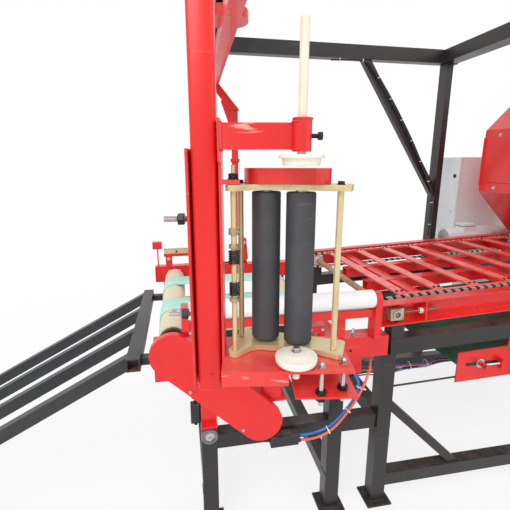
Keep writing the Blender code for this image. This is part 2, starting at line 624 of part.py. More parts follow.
def build_conveyor_drive():
    for name, side in (("takeup_block_near", -1), ("takeup_block_far", 1)):
        y = side * (RAIL_WEB + 0.024)
        members = [box((TAIL_U - 0.028, y - 0.0175, SHAFT_W - 0.024),
                       (TAIL_U + 0.028, y + 0.0175, SHAFT_W + 0.024)),
                   rod(0.005, (y, SHAFT_W), "X", TAIL_U + 0.026, 0.110, 12),
                   rod(0.010, (y, SHAFT_W), "X", 0.026, 0.0395, 6),
                   rod(0.010, (y, SHAFT_W), "X", 0.0465, 0.058, 6)]
        bore = rod(0.0125, (TAIL_U, SHAFT_W), "Y", y - 0.03, y + 0.03)
        piece(name, ZINC, members, [bore], within=CONVEYOR)
    for name, u, reach, material in (("tail_shaft", TAIL_U, 0.486, RUST),
                                     ("head_shaft", HEAD_U, 0.500, STEEL)):
        members = [rod(0.011, (u, SHAFT_W), "Y", -reach, reach + (0.05 if u > 1 else 0)),
                   rod(0.0145, (u, SHAFT_W), "Y", -0.380, 0.380)]
        for y in (-CHAIN_Y, CHAIN_Y):
            members.append(rod(TRACK_RADIUS, (u, SHAFT_W), "Y", y - 0.006, y + 0.006, 24))
        piece(name, material, members, within=CONVEYOR, origin=(u, 0, SHAFT_W))
    for name, side in (("conveyor_chain_near", -1), ("conveyor_chain_far", 1)):
        ends = ((TAIL_U, SHAFT_W), (HEAD_U, SHAFT_W))
        inner = TRACK_RADIUS + 0.0010
        loops = [stadium(*ends, inner + CHAIN_WALL), stadium(*ends, inner)]
        piece(name, DARK_STEEL, [plate(loops, CHAIN_WIDTH, (0, side * CHAIN_Y, 0), XZ_TURN)],
              within=CONVEYOR)
    half = SLAT_WIDTH / 2
    members = []
    for i in range(SLAT_COUNT):
        u = i * SLAT_PITCH
        members.append(box((u - half, -SLAT_HALF, -SLAT_THICKNESS), (u + half, SLAT_HALF, 0.0)))
    for side in (-1, 1):
        y = side * 0.393
        end = (SLAT_COUNT - 1) * SLAT_PITCH + half - 0.002
        members.append(box((-half + 0.002, y - 0.0075, -SLAT_THICKNESS - 0.006), (end, y + 0.0075, -0.002)))
    piece("slat_mat", RED, members, within=CONVEYOR)
    u, y = HEAD_U, RAIL_WEB + RAIL_DEPTH
    gearbox = box((u - 0.075, y + 0.0075, SHAFT_W - 0.075), (u + 0.075, y + 0.105, SHAFT_W + 0.075))
    motor_w = SHAFT_W + 0.035
    motor = rod(0.058, (y + 0.060, motor_w), "X", u - 0.380, u - 0.070, 24)
    cowl = rod(0.062, (y + 0.064, motor_w), "X", u - 0.400, u - 0.340, 24)
    terminal = box((u - 0.290, y + 0.010, motor_w + 0.035), (u - 0.200, y + 0.100, motor_w + 0.088))
    flange = box((u - 0.060, y + 0.0005, SHAFT_W - 0.035), (u + 0.060, y + 0.010, SHAFT_W + 0.035))
    bore = rod(0.0135, (u, SHAFT_W), "Y", y - 0.02, y + 0.080)
    piece("conveyor_gearmotor", GREY, [gearbox, motor, cowl, terminal, flange], [bore], within=CONVEYOR)


def build_return_belt():
    ends = ((0.960, RETURN_BELT_Z), (1.880, RETURN_BELT_Z + 0.040))
    piece("return_belt", GREEN, [plate([stadium(*ends, 0.030)], 0.820, (0, -0.010, 0), XZ_TURN)])
    members = []
    for y in (-0.4235, 0.4035):
        side = [(0.935, 0.500), (1.440, 0.516), (1.440, 0.666), (0.935, 0.642)]
        members.append(plate([side], 0.006, (0, y, 0), XZ_TURN))
    for x in (1.060, 1.380):
        members.append(box((x, -0.4225, 0.515), (x + 0.040, 0.4025, 0.545)))
    for x in (1.180, 1.340):
        members.append(box((x, -0.4265, 0.560), (x + 0.040, -0.4222, 0.725)))
        members.append(box((x, 0.4022, 0.560), (x + 0.040, 0.4065, 0.725)))
    members += [box((1.175, -0.480, 0.715), (1.385, -0.4225, 0.721)),
                box((1.175, 0.4025, 0.715), (1.385, 0.480, 0.721))]
    members.append(rod(0.009, (1.050, 0.582), "Y", -0.470, -0.425, 16))
    members.append(rod(0.004, (-0.440, 0.580), "X", 1.055, 1.150, 12))
    members.append(box((1.135, -0.455, 0.560), (1.145, -0.425, 0.605)))
    piece("return_belt_frame", RED, members)


# ---------------------------------------------------------------- baler front and cabinet
def build_baler():
    across = CHAMBER_FLATS / 2
    wall = 0.025
    octagon, inner = ([(CHAMBER_X + reach / math.cos(math.pi / 8) * math.cos(math.pi / 8 + i * math.pi / 4),
                        CHAMBER_Z + reach / math.cos(math.pi / 8) * math.sin(math.pi / 8 + i * math.pi / 4))
                       for i in range(8)] for reach in (across, across - wall))
    members = [plate([octagon], CHAMBER_WIDTH, (0, 0, 0), XZ_TURN)]
    post_x = CHAMBER_X + 0.050
    for side in (-1, 1):
        inside, outside = CHAMBER_WIDTH / 2 - 0.006, CHAMBER_WIDTH / 2 + 0.070
        low, high = sorted((side * inside, side * outside))
        members.append(box((post_x - 0.050, low, 0.004), (post_x + 0.050, high, CHAMBER_Z)))
        members.append(box((post_x - 0.130, side * 0.455 - 0.045, 0.0),
                           (post_x + 0.250, side * 0.455 + 0.045, 0.050)))
    cuts = [plate([inner], CHAMBER_WIDTH, (0, -wall, 0), XZ_TURN),
            box((CHAMBER_X - across - 0.02, -0.360, CHAMBER_Z - 0.130),
                (CHAMBER_X - across + 0.08, 0.360, CHAMBER_Z - 0.126))]
    piece("bale_chamber", RED, members, cuts)


def build_cabinet():
    wide, deep, tall = CABINET
    left, near, low = CABINET_LEFT, CABINET_NEAR, CABINET_LOW
    wall, right = 0.003, 1.904
    shell = box((left, near, low), (left + wide, near + deep, low + tall))
    casing = box((right, near + 0.004, 0.030), (2.400, near + 0.164, 1.400))
    plinth = box((right + 0.010, near + 0.010, 0.0), (2.390, near + 0.158, 0.036))
    hollow = box((left - 0.02, near + wall, low + wall),
                 (left + wide - wall, near + deep - wall, low + tall - wall))
    piece("control_cabinet", GREY, [shell, casing, plinth], [hollow])
    door = box((left - 0.0225, near, low), (left - GAP, near + deep, low + tall))
    knob = rod(0.009, (near + 0.040, low + tall / 2), "X", left - 0.036, left - 0.020, 16)
    recess = box((left - 0.018, near + 0.010, low + 0.010),
                 (left + 0.01, near + deep - 0.010, low + tall - 0.010))
    piece("cabinet_door", GREY, [door, knob], [recess], origin=(left - 0.0225, near + deep, low))


# ---------------------------------------------------------------- rotor, columns and carriage
def build_rotor():
    r = ARM_RADIUS
    middle = (ROTOR_BOTTOM + ROTOR_TOP) / 2
    members = [bar((SHOULDER, -r, middle), (-SHOULDER, r, middle), 0.060, ROTOR_TOP - ROTOR_BOTTOM)]
    for side in (-1, 1):
        offset = -side * SHOULDER
        members.append(bar((-offset * 0.30, side * r, COLUMN_TOP - 0.050),
                           (offset * 1.05, side * r, middle), 0.050, 0.050))
    members += [rod(0.090, (0, 0), "Z", ROTOR_TOP - 0.010, ROTOR_TOP + 0.030, 32),
                rod(ROTOR_SHAFT, (0, 0), "Z", ROTOR_TOP, 2.220, 24)]
    cuts = [box((-0.30, -r - 0.10, COLUMN_TOP - 0.20), (0.30, -r + 0.10, COLUMN_TOP + GAP)),
            box((-0.30, r - 0.10, COLUMN_TOP - 0.20), (0.30, r + 0.10, COLUMN_TOP + GAP))]
    piece("rotor_arm", RED, members, cuts, within=ROTOR)
    for name, y in (("wrap_column", -r), ("idle_column", r)):
        half = COLUMN / 2
        column = box((-half, y - half, COLUMN_BOTTOM), (half, y + half, COLUMN_TOP))
        node = piece(name, RED, [column], within=ROTOR)
        soften = node.modifiers.new("Bevel", "BEVEL")
        soften.width = 0.007
        soften.segments = 2
        soften.limit_method = "ANGLE"
        if y > 0:
            node.modifiers.remove(soften)
            band = box((-0.032, y - 0.032, 1.452), (0.032, y + 0.032, 1.476))
            band.parent = ROTOR
            weld = node.modifiers.new("Union", "BOOLEAN")
            weld.operation = "UNION"
            weld.object = band
    gearbox = box((-0.090, -0.090, GANTRY_TOP + GAP), (0.090, 0.090, GANTRY_TOP + 0.130))
    motor = rod(0.058, (0, GANTRY_TOP + 0.071), "X", 0.083, 0.330, 24)
    cowl = rod(0.063, (0, GANTRY_TOP + 0.071), "X", 0.300, 0.360, 24)
    terminal = box((0.152, -0.0412, GANTRY_TOP + 0.1120), (0.248, 0.0412, GANTRY_TOP + 0.172))
    bore = rod(ROTOR_SHAFT + 0.0015, (0, 0), "Z", GANTRY_TOP - 0.02, 2.226)
    piece("rotor_gearmotor", GREY, [gearbox, motor, cowl, terminal], [bore])


def build_carriage():
    r = ARM_RADIUS
    flange, inside, outside = 0.030, 0.0265, 0.0315
    film = (FILM_T, -FILM_N)
    pivot = (PIVOT_T, -PIVOT_N)
    members = [
        box((-outside, -r + COLUMN / 2 + GAP, 1.000), (outside, -r + flange, 1.464)),
        box((-outside, -r - flange, 1.0005), (-inside, -r + flange - 0.0005, 1.4635)),
        box((inside, -r - flange, 1.0005), (outside, -r + flange - 0.0005, 1.512)),
        box((inside + 0.0005, -r - 0.054, 1.440), (outside - 0.0005, -r, 1.5115)),
        box((outside - 0.004, -1.102, 1.461), (0.158, -1.058, 1.504)),
        rod(0.016, film, "Z", 1.457, 1.508, 24),
        box((outside - 0.004, -1.135, SHELF_TOP - 0.006), (0.275, -0.985, SHELF_TOP)),
        box((outside - 0.0035, -1.1345, SHELF_TOP - 0.030), (LIP_END, -1.129, SHELF_TOP - 0.002)),
        box((LIP_END - 0.0055, -1.1340, SHELF_TOP - 0.0300), (LIP_END, -LIP_BACK, SHELF_TOP - 0.002)),
        box((LIP_END - 0.0050, -LIP_BACK - 0.0055, SHELF_TOP - 0.0295),
            (0.2745, -LIP_BACK, SHELF_TOP - 0.002)),
        box((outside - 0.0035, -0.991, SHELF_TOP - 0.030), (0.2745, -0.9855, SHELF_TOP - 0.002)),
        box((0.269, -LIP_BACK - 0.0050, SHELF_TOP - 0.0290), (0.2745, -0.9855, SHELF_TOP - 0.002)),
        box((outside - 0.004, PIVOT_N * -1 - 0.012, 1.402), (PIVOT_T + 0.012, PIVOT_N * -1 + 0.012, 1.410)),
        rod(0.005, (-r, 1.337), "X", -0.078, -outside + 0.002, 12),
        rod(0.010, (-r, 1.337), "X", -0.052, -0.041, 6),
    ]
    cuts = [box((0.030, -1.098, 1.465), (0.140, -1.062, 1.500)),
            rod(FILM_ROD_RADIUS + 0.001, film, "Z", 1.44, 1.53),
            rod(PIVOT_RADIUS + 0.0008, pivot, "Z", 1.04, 1.50, 16),
            rod(0.0092, film, "Z", 1.03, 1.10),
            rod(0.0048, (-FILM_N, 1.482), "X", FILM_T, FILM_T + 0.05, 12)]
    cuts += [rod(0.0052, (t, -n), "Z", 1.03, 1.10, 12) for t, n in STUDS]
    piece("carriage_frame", RED, members, cuts, within=ROTOR)
    head = [(0, 1.436), (0.008, 1.436), (0.008, 1.428), (PIVOT_RADIUS, 1.427), (PIVOT_RADIUS, 1.046),
            (0.009, 1.045), (0.009, 1.036), (0, 1.036)]
    piece("pivot_rod", ZINC, [turned(head, (*pivot, 0), steps=16)], within=ROTOR)
    for name, bottom in (("spring_lower", 1.190), ("spring_upper", 1.252)):
        turns, per_turn, mean = 4, 10, 0.0082
        coil = [(pivot[0] + mean * math.cos(2 * math.pi * i / per_turn),
                 pivot[1] + mean * math.sin(2 * math.pi * i / per_turn),
                 bottom + 0.030 * i / (turns * per_turn)) for i in range(turns * per_turn + 1)]
        piece(name, DARK_STEEL, [wire(coil, 0.0014)], within=ROTOR)


def build_film_holder():
    film = (FILM_T, -FILM_N, 0)
    cone = [(0, 1.097), (0.030, 1.097), (0.040, 1.088), (0.040, 1.078), (0.036, 1.071), (0.008, 1.0705),
            (0.008, 1.040), (0, 1.040)]
    bolt = rod(0.008, film[:2], "Z", 1.096, 1.104, 6)
    piece("lower_cone", NYLON, [turned(cone, film, steps=28), bolt], within=ROTOR)
    upper = [(FILM_ROD_RADIUS + 0.001, 1.452), (CONE_RADIUS, 1.452), (CONE_RADIUS, 1.446), (0.033, 1.445),
             (0.032, 1.437),
             (0.010, 1.434), (FILM_ROD_RADIUS + 0.001, 1.434), (FILM_ROD_RADIUS + 0.001, 1.452)]
    piece("upper_cone", NYLON, [turned(upper, film, steps=28)], within=ROTOR)
    spindle = [(0, 1.660), (FILM_ROD_RADIUS, 1.660), (FILM_ROD_RADIUS, 1.4325), (0.011, 1.4320),
               (0.009, 1.422), (0, 1.422)]
    piece("film_rod", NYLON, [turned(spindle, film, steps=20)], within=ROTOR)
    y = -FILM_N
    members = [rod(0.004, (y, 1.482), "X", FILM_T + FILM_ROD_RADIUS + GAP, 0.196, 12),
               rod(0.008, (y, 1.482), "X", 0.194, 0.202, 6)]
    piece("clamp_bolt", DARK_STEEL, members, within=ROTOR, origin=(FILM_T, y, 1.482))
    members = [box((0.165, -1.134, 1.008), (0.285, -1.040, 1.012))]
    profile = [(0, 1.076), (0.005, 1.074), (0.0072, SHELF_TOP + 0.0004), (0.004, SHELF_TOP + 0.0002),
               (0.004, 1.0205), (0.0085, 1.020), (0.0085, 1.0105), (0.0085, 1.000), (0.004, 0.9995),
               (0.004, 0.990), (0, 0.990)]
    for t, n in STUDS:
        members.append(turned(profile, (t, -n, 0), steps=12))
    piece("stud_plate", RED, members, within=ROTOR)


# ---------------------------------------------------------------- film stretching cage
CAGE_WIDTH = (0.034, 0.104)
POST_LEFT, POST_RIGHT = (-0.0085, 0.0645), (0.1855, 0.0575)


def cage_outline():
    """Cage plate seen from above: a tab round the pivot, then the long body behind the film."""
    front, back = CAGE_WIDTH
    return (arc(0, 0, 0.014, 180, 320, 8) + [(0.024, 0.020), (0.040, front - 0.001), (0.150, front + 0.012)]
            + arc(0.196, 0.046, 0.010, 250, 360, 4) + arc(0.196, back - 0.010, 0.010, 0, 90, 4)
            + arc(-0.0065, back - 0.010, 0.010, 90, 180, 4) + [(-0.0165, 0.060), (-0.010, 0.044)])


def build_cage():
    shafts = [(SLOW_A, STRETCH_B), (FAST_A, STRETCH_B)]
    pivot_hole = PIVOT_RADIUS + 0.0008
    for name, low in (("cage_bottom_plate", CAGE_LOW), ("cage_top_plate", CAGE_HIGH)):
        slab = plate([cage_outline()], PLATE, (0, 0, low + PLATE / 2))
        cuts = [rod(pivot_hole, (0, 0), "Z", low - 0.01, low + 0.02, 16)]
        cuts += [rod(0.0068, place, "Z", low - 0.01, low + 0.02, 16) for place in shafts]
        piece(name, ZINC, [slab], cuts, within=CAGE)
    for name, (a, b) in (("cage_post_left", POST_LEFT), ("cage_post_right", POST_RIGHT)):
        post = rod(0.0060, (a, b), "Z", CAGE_LOW + PLATE + GAP, CAGE_HIGH - GAP, 16)
        piece(name, ZINC, [post], within=CAGE)
    spread = FAST_A - SLOW_A
    slow_gear = spread * GEAR_RATIO / (1 + GEAR_RATIO)
    fast_gear = spread - slow_gear
    for name, a, gear in (("stretch_roller_slow", SLOW_A, slow_gear),
                          ("stretch_roller_fast", FAST_A, fast_gear)):
        profile = [(0, 1.4200), (0.0058, 1.4200), (0.0058, 1.4150), (gear - 0.0008, 1.4150),
                   (gear - 0.0008, 1.4070),
                   (0.0058, 1.4070), (0.0058, 1.386), (STRETCH_RADIUS - 0.002, 1.386),
                   (STRETCH_RADIUS, 1.383),
                   (STRETCH_RADIUS, 1.087), (STRETCH_RADIUS - 0.002, 1.084), (0.0058, 1.084),
                   (0.0058, 1.0695),
                   (0, 1.0695)]
        piece(name, RUBBER, [turned(profile, (a, STRETCH_B, 0), steps=24)], within=CAGE)
    lid_low, lid_high, wall = CAGE_HIGH + PLATE + GAP, 1.430, 0.0025
    ends = ((SLOW_A, STRETCH_B), (FAST_A + 0.012, STRETCH_B))
    cover = plate([stadium(*ends, 0.0430, 12)], lid_high - lid_low, (0, 0, (lid_low + lid_high) / 2))
    hollow = plate([stadium(*ends, 0.0430 - wall, 12)], lid_high - lid_low,
                   (0, 0, (lid_low + lid_high) / 2 - wall))
    lean_t, lean_n = FILM_T - PIVOT_T, PIVOT_N - FILM_N
    film = (lean_t * math.cos(CAGE_ANGLE) + lean_n * math.sin(CAGE_ANGLE),
            lean_n * math.cos(CAGE_ANGLE) - lean_t * math.sin(CAGE_ANGLE))
    scallop = CONE_RADIUS + CONE_CLEARANCE
    wall_kept = rod(scallop + SCALLOP_WALL, film, "Z", lid_low - 0.01, lid_high + 0.01, 48)
    wall_kept.parent = CAGE
    keep = hollow.modifiers.new("Difference", "BOOLEAN")
    keep.operation = "DIFFERENCE"
    keep.object = wall_kept
    room = rod(scallop, film, "Z", lid_low - 0.01, lid_high + 0.01, 48)
    piece("gear_cover", RED, [cover], [hollow, room], within=CAGE)


# ---------------------------------------------------------------- hoses and cable
def build_hoses():
    block_right = 0.190
    under_beam = BEAM_BOTTOM - 0.0024
    socket = block_right + 0.0020
    blue = [(0.3955, -0.470, under_beam), (0.3955, -0.470, 0.690), (0.399, -0.494, 0.668),
            (0.418, -0.516, 0.640),
            (0.430, -0.520, 0.600), (0.408, -0.520, 0.541), (0.360, -0.520, 0.478), (0.312, -0.516, 0.432),
            (0.255, -0.508, 0.407), (0.215, -0.505, 0.404), (socket, -0.505, 0.404)]
    red = [(0.505, -0.455, under_beam), (0.505, -0.455, 0.684), (0.488, -0.494, 0.664),
           (0.460, -0.522, 0.645),
           (0.441, -0.5305, 0.600), (0.404, -0.5305, 0.530), (0.352, -0.5305, 0.460),
           (0.305, -0.5280, 0.416),
           (0.250, -0.5190, 0.392), (0.215, -0.5160, 0.390), (socket, -0.5160, 0.390)]
    piece("air_hose_blue", BLUE, [wire(smooth_route(blue, 3), HOSE_RADIUS, sides=2)])
    piece("air_hose_red", ORANGE, [wire(smooth_route(red, 3), HOSE_RADIUS, sides=2)])
    rail_face = -STAND_Y - STAND_TUBE / 2 + 0.002
    block = [box((0.080, rail_face - 0.046, 0.378), (block_right, rail_face - GAP, 0.420)),
             rod(0.008, (rail_face - 0.023, 0.399), "X", 0.062, 0.082, 16)]
    piece("air_valve_block", DARK_STEEL, block)
    cable_y = POST_Y - 0.037
    cable = [(POST_X - 0.034, cable_y, 0.950), (POST_X - 0.036, cable_y, 1.200),
             (POST_X - 0.075, cable_y, 1.330),
             (1.210, cable_y, 1.690), (0.985, cable_y, 1.995), (0.900, cable_y, 2.050),
             (0.700, cable_y, 2.046)]
    piece("brace_cable", DARK_STEEL, [wire(smooth_route(cable, 4), 0.009, sides=2)])


build_wrapper_stand()
build_conveyor_stand()
build_gantry()
build_table_frame()
build_table_rollers()
build_drive()
build_side_roller()
build_idler()
build_cutter()
build_ramp()
build_conveyor_frame()
build_conveyor_drive()
build_return_belt()
build_baler()
build_cabinet()
build_rotor()
build_carriage()
build_film_holder()
build_cage()
build_hoses()


def centre_on_base():
    """Moves the whole machine so that its origin is the bottom centre of its bounding box."""
    graph = bpy.context.evaluated_depsgraph_get()
    graph.update()
    spots = []
    for node in MACHINE.objects:
        if node.type == "MESH":
            seen = node.evaluated_get(graph)
            spots += [seen.matrix_world @ vertex.co for vertex in seen.data.vertices]
    middle = [(min(spot[i] for spot in spots) + max(spot[i] for spot in spots)) / 2 for i in (0, 1)]
    ORIGIN.location = (-middle[0], -middle[1], -min(spot.z for spot in spots))


centre_on_base()
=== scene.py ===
"""Looks of a round bale film wrapping machine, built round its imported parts.

Metres, +Z up, +X from the wrapping table towards the baler, -Y the operator's side.
"""
import json
import math

import bmesh
import bpy
import numpy as np
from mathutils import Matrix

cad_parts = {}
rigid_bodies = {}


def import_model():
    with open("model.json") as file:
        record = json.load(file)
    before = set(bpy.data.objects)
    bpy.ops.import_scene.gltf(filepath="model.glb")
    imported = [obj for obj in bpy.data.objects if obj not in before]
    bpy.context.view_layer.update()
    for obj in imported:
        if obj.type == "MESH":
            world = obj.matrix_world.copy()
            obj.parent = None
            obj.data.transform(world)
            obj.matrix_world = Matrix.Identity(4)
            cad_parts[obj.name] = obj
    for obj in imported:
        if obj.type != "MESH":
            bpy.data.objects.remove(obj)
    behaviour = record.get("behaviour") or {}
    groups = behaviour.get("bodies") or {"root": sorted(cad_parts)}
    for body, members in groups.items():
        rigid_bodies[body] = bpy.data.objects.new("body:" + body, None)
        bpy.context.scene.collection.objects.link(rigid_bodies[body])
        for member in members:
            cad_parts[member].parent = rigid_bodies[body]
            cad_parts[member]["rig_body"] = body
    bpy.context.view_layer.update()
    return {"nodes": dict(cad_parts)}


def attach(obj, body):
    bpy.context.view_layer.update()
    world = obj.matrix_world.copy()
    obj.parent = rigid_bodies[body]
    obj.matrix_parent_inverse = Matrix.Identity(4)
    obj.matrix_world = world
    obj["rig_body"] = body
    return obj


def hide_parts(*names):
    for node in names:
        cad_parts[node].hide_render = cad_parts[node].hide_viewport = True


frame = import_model()
nodes = frame["nodes"]


# ---------------------------------------------------------------- studio
# The machine stands on a white painted floor under an even white sky, with one broad
# lamp from the front left and a weaker one from the right.  The camera is at eye level
# beside the wrapping column.
scene = bpy.context.scene
scene.view_settings.view_transform = "Standard"

EYE = (-0.7200, -1.7206, 1.4360)
PITCH, YAW = math.radians(13.2), math.radians(10.9)
camera = bpy.data.objects.new("camera", bpy.data.cameras.new("camera"))
camera.data.sensor_width = 36.0
camera.data.lens = 27.2
camera.data.clip_start = 0.02
camera.location = EYE
camera.rotation_euler = (math.pi / 2 - PITCH, 0.0, -YAW)
scene.collection.objects.link(camera)
scene.camera = camera


def knot(tree, kind, sockets=None, **settings):
    """A shader node with its settings, and its sockets linked or set."""
    node = tree.nodes.new("ShaderNode" + kind)
    for setting, value in settings.items():
        setattr(node, setting, value)
    for socket, value in (sockets or {}).items():
        if isinstance(value, bpy.types.NodeSocket):
            tree.links.new(value, node.inputs[socket])
        else:
            node.inputs[socket].default_value = value
    return node


def seen_directly(tree):
    """1 for rays from the camera, and for what gloss and glass show; 0 for light."""
    path = knot(tree, "LightPath").outputs
    shine = knot(tree, "Math", {0: path["Is Glossy Ray"], 1: path["Is Transmission Ray"]}, operation="MAXIMUM")
    return knot(tree, "Math", {0: path["Is Camera Ray"], 1: shine.outputs[0]}, operation="MAXIMUM").outputs[0]


SKY_LIGHT = 0.66
sky = bpy.data.worlds.new("studio sky")
scene.world = sky
sky.use_nodes = True
level = knot(sky.node_tree, "MapRange", {0: seen_directly(sky.node_tree), "To Min": SKY_LIGHT, "To Max": 1.0})
background = sky.node_tree.nodes["Background"]
background.inputs["Color"].default_value = (1, 1, 1, 1)
sky.node_tree.links.new(level.outputs[0], background.inputs["Strength"])

for lamp_name, strength, spread, tilt, heading in (("front lamp", 1.55, 34, 48, -38),
                                                   ("right lamp", 0.55, 60, 62, 55)):
    lamp = bpy.data.objects.new(lamp_name, bpy.data.lights.new(lamp_name, "SUN"))
    lamp.data.energy = strength
    lamp.data.angle = math.radians(spread)
    lamp.rotation_euler = (math.radians(tilt), 0, math.radians(heading))
    scene.collection.objects.link(lamp)

FLOOR_REACH, FLOOR_DROP, FLOOR_GLOW = 40.0, 0.0004, 0.80
floor_mesh = bpy.data.meshes.new("floor")
corners = [(x, y, -FLOOR_DROP) for x, y in ((-1, -1), (1, -1), (1, 1), (-1, 1))]
floor_mesh.from_pydata(corners, [], [(0, 1, 2, 3)])
floor_mesh.transform(Matrix.Diagonal((FLOOR_REACH, FLOOR_REACH, 1, 1)))
floor = bpy.data.objects.new("floor", floor_mesh)
scene.collection.objects.link(floor)
floor_paint = bpy.data.materials.new("white floor")
floor_paint.use_nodes = True
tree = floor_paint.node_tree
tree.nodes["Principled BSDF"].inputs["Base Color"].default_value = (0.93, 0.93, 0.93, 1)
tree.nodes["Principled BSDF"].inputs["Roughness"].default_value = 0.9
glow = knot(tree, "Emission", {"Color": (1, 1, 1, 1), "Strength": 1.0})
share = knot(tree, "MapRange", {0: seen_directly(tree), "To Min": 0.0, "To Max": FLOOR_GLOW})
mixed = knot(tree, "MixShader",
    {0: share.outputs[0], 1: tree.nodes["Principled BSDF"].outputs[0], 2: glow.outputs[0]})
tree.links.new(mixed.outputs[0], tree.nodes["Material Output"].inputs["Surface"])
floor_mesh.materials.append(floor_paint)


# ---------------------------------------------------------------- black stands and gantry
# Three frames of welded square tube under the table, under the conveyor and over it,
# brushed with satin black enamel.  The legs stand on small floor plates.
BASE = np.array([-0.49999, 0.03841, 0.0])      # rotor axis in the machine's frame, at floor level


def tint(red, green, blue):
    """Linear light of a paint card's 0 to 255 numbers."""
    card = np.array([red, green, blue]) / 255
    return (*np.where(card <= 0.04045, card / 12.92, ((card + 0.055) / 1.055) ** 2.4).tolist(), 1.0)


def effect(name, inputs, outputs):
    """An empty node group with named sockets: the tree, what it is given, and what it puts out."""
    group = bpy.data.node_groups.new(name, "ShaderNodeTree")
    for label, kind, start in inputs:
        socket = group.interface.new_socket(label, in_out="INPUT", socket_type="NodeSocket" + kind)
        if start is not None:
            socket.default_value = start
    for label, kind in outputs:
        group.interface.new_socket(label, in_out="OUTPUT", socket_type="NodeSocket" + kind)
    return group, group.nodes.new("NodeGroupInput").outputs, group.nodes.new("NodeGroupOutput").inputs


def build_mottle():
    """Clouds of noise that lead from one colour to another."""
    group, given, result = effect("mottle", [
        ("Vector", "Vector", None), ("Colour", "Color", (1, 1, 1, 1)), ("Shade", "Color", (0, 0, 0, 1)),
        ("Cell", "Float", 6.0), ("Amount", "Float", 0.4)], [("Colour", "Color"), ("Field", "Float")])
    cloud = knot(group, "TexNoise",
        {"Vector": given["Vector"], "Scale": given["Cell"], "Detail": 6.0, "Roughness": 0.62})
    ramp = knot(group, "MapRange", {0: cloud.outputs[0], "From Min": 0.40, "From Max": 0.72})
    share = knot(group, "Math", {0: ramp.outputs[0], 1: given["Amount"]}, operation="MULTIPLY")
    mixed = knot(group, "Mix", {0: share.outputs[0], 6: given["Colour"], 7: given["Shade"]}, data_type="RGBA")
    group.links.new(mixed.outputs[2], result["Colour"])
    group.links.new(cloud.outputs[0], result["Field"])
    return group


def build_scuffs():
    """Thin scratches: noise drawn out along one axis, kept only where it peaks."""
    group, given, result = effect("scuffs", [
        ("Vector", "Vector", None), ("Cell", "Float", 60.0), ("Amount", "Float", 0.5)], [("Mask", "Float")])
    drawn = knot(group, "VectorMath", {0: given["Vector"], 1: (0.10, 0.9, 1.3)}, operation="MULTIPLY")
    lines = knot(group, "TexNoise",
        {"Vector": drawn.outputs[0], "Scale": given["Cell"], "Detail": 3.0, "Distortion": 0.5})
    patch = knot(group, "TexNoise", {"Vector": given["Vector"], "Scale": 5.0, "Detail": 2.0})
    peaks = knot(group, "MapRange", {0: lines.outputs[0], "From Min": 0.66, "From Max": 0.72})
    where = knot(group, "MapRange", {0: patch.outputs[0], "From Min": 0.48, "From Max": 0.62})
    both = knot(group, "Math", {0: peaks.outputs[0], 1: where.outputs[0]}, operation="MULTIPLY")
    share = knot(group, "Math", {0: both.outputs[0], 1: given["Amount"]}, operation="MULTIPLY")
    group.links.new(share.outputs[0], result["Mask"])
    return group


def build_dust_and_top_light():
    """Patches on faces that look up: a dusting, and painted top light where a finish gives a lighter tint of
    its own colour.
    """
    group, given, result = effect("dust_and_painted_top_light", [
        ("Vector", "Vector", None), ("Normal", "Vector", None), ("Amount", "Float", 0.3)], [("Mask", "Float")])
    upward = knot(group, "SeparateXYZ", {0: given["Normal"]})
    flat = knot(group, "MapRange", {0: upward.outputs["Z"], "From Min": 0.55, "From Max": 1.0})
    patch = knot(group, "TexNoise", {"Vector": given["Vector"], "Scale": 14.0, "Detail": 8.0, "Roughness": 0.7})
    cover = knot(group, "MapRange", {0: patch.outputs[0], "From Min": 0.35, "From Max": 0.75})
    both = knot(group, "Math", {0: flat.outputs[0], 1: cover.outputs[0]}, operation="MULTIPLY")
    share = knot(group, "Math", {0: both.outputs[0], 1: given["Amount"]}, operation="MULTIPLY")
    group.links.new(share.outputs[0], result["Mask"])
    return group


def build_relief():
    """A fine bump of noise, its grain drawn out by a stretch vector."""
    group, given, result = effect("relief", [
        ("Vector", "Vector", None), ("Stretch", "Vector", (1, 1, 1)), ("Cell", "Float", 300.0),
        ("Depth", "Float", 0.0001)], [("Normal", "Vector"), ("Field", "Float")])
    drawn = knot(group, "VectorMath", {0: given["Vector"], 1: given["Stretch"]}, operation="MULTIPLY")
    grain = knot(group, "TexNoise", {"Vector": drawn.outputs[0], "Scale": given["Cell"], "Detail": 3.0})
    bump = knot(group, "Bump", {"Height": grain.outputs[0], "Distance": given["Depth"], "Strength": 1.0})
    group.links.new(bump.outputs[0], result["Normal"])
    group.links.new(grain.outputs[0], result["Field"])
    return group


MOTTLE, SCUFFS, DUST_AND_TOP_LIGHT, RELIEF = build_mottle(), build_scuffs(), build_dust_and_top_light(), build_relief()


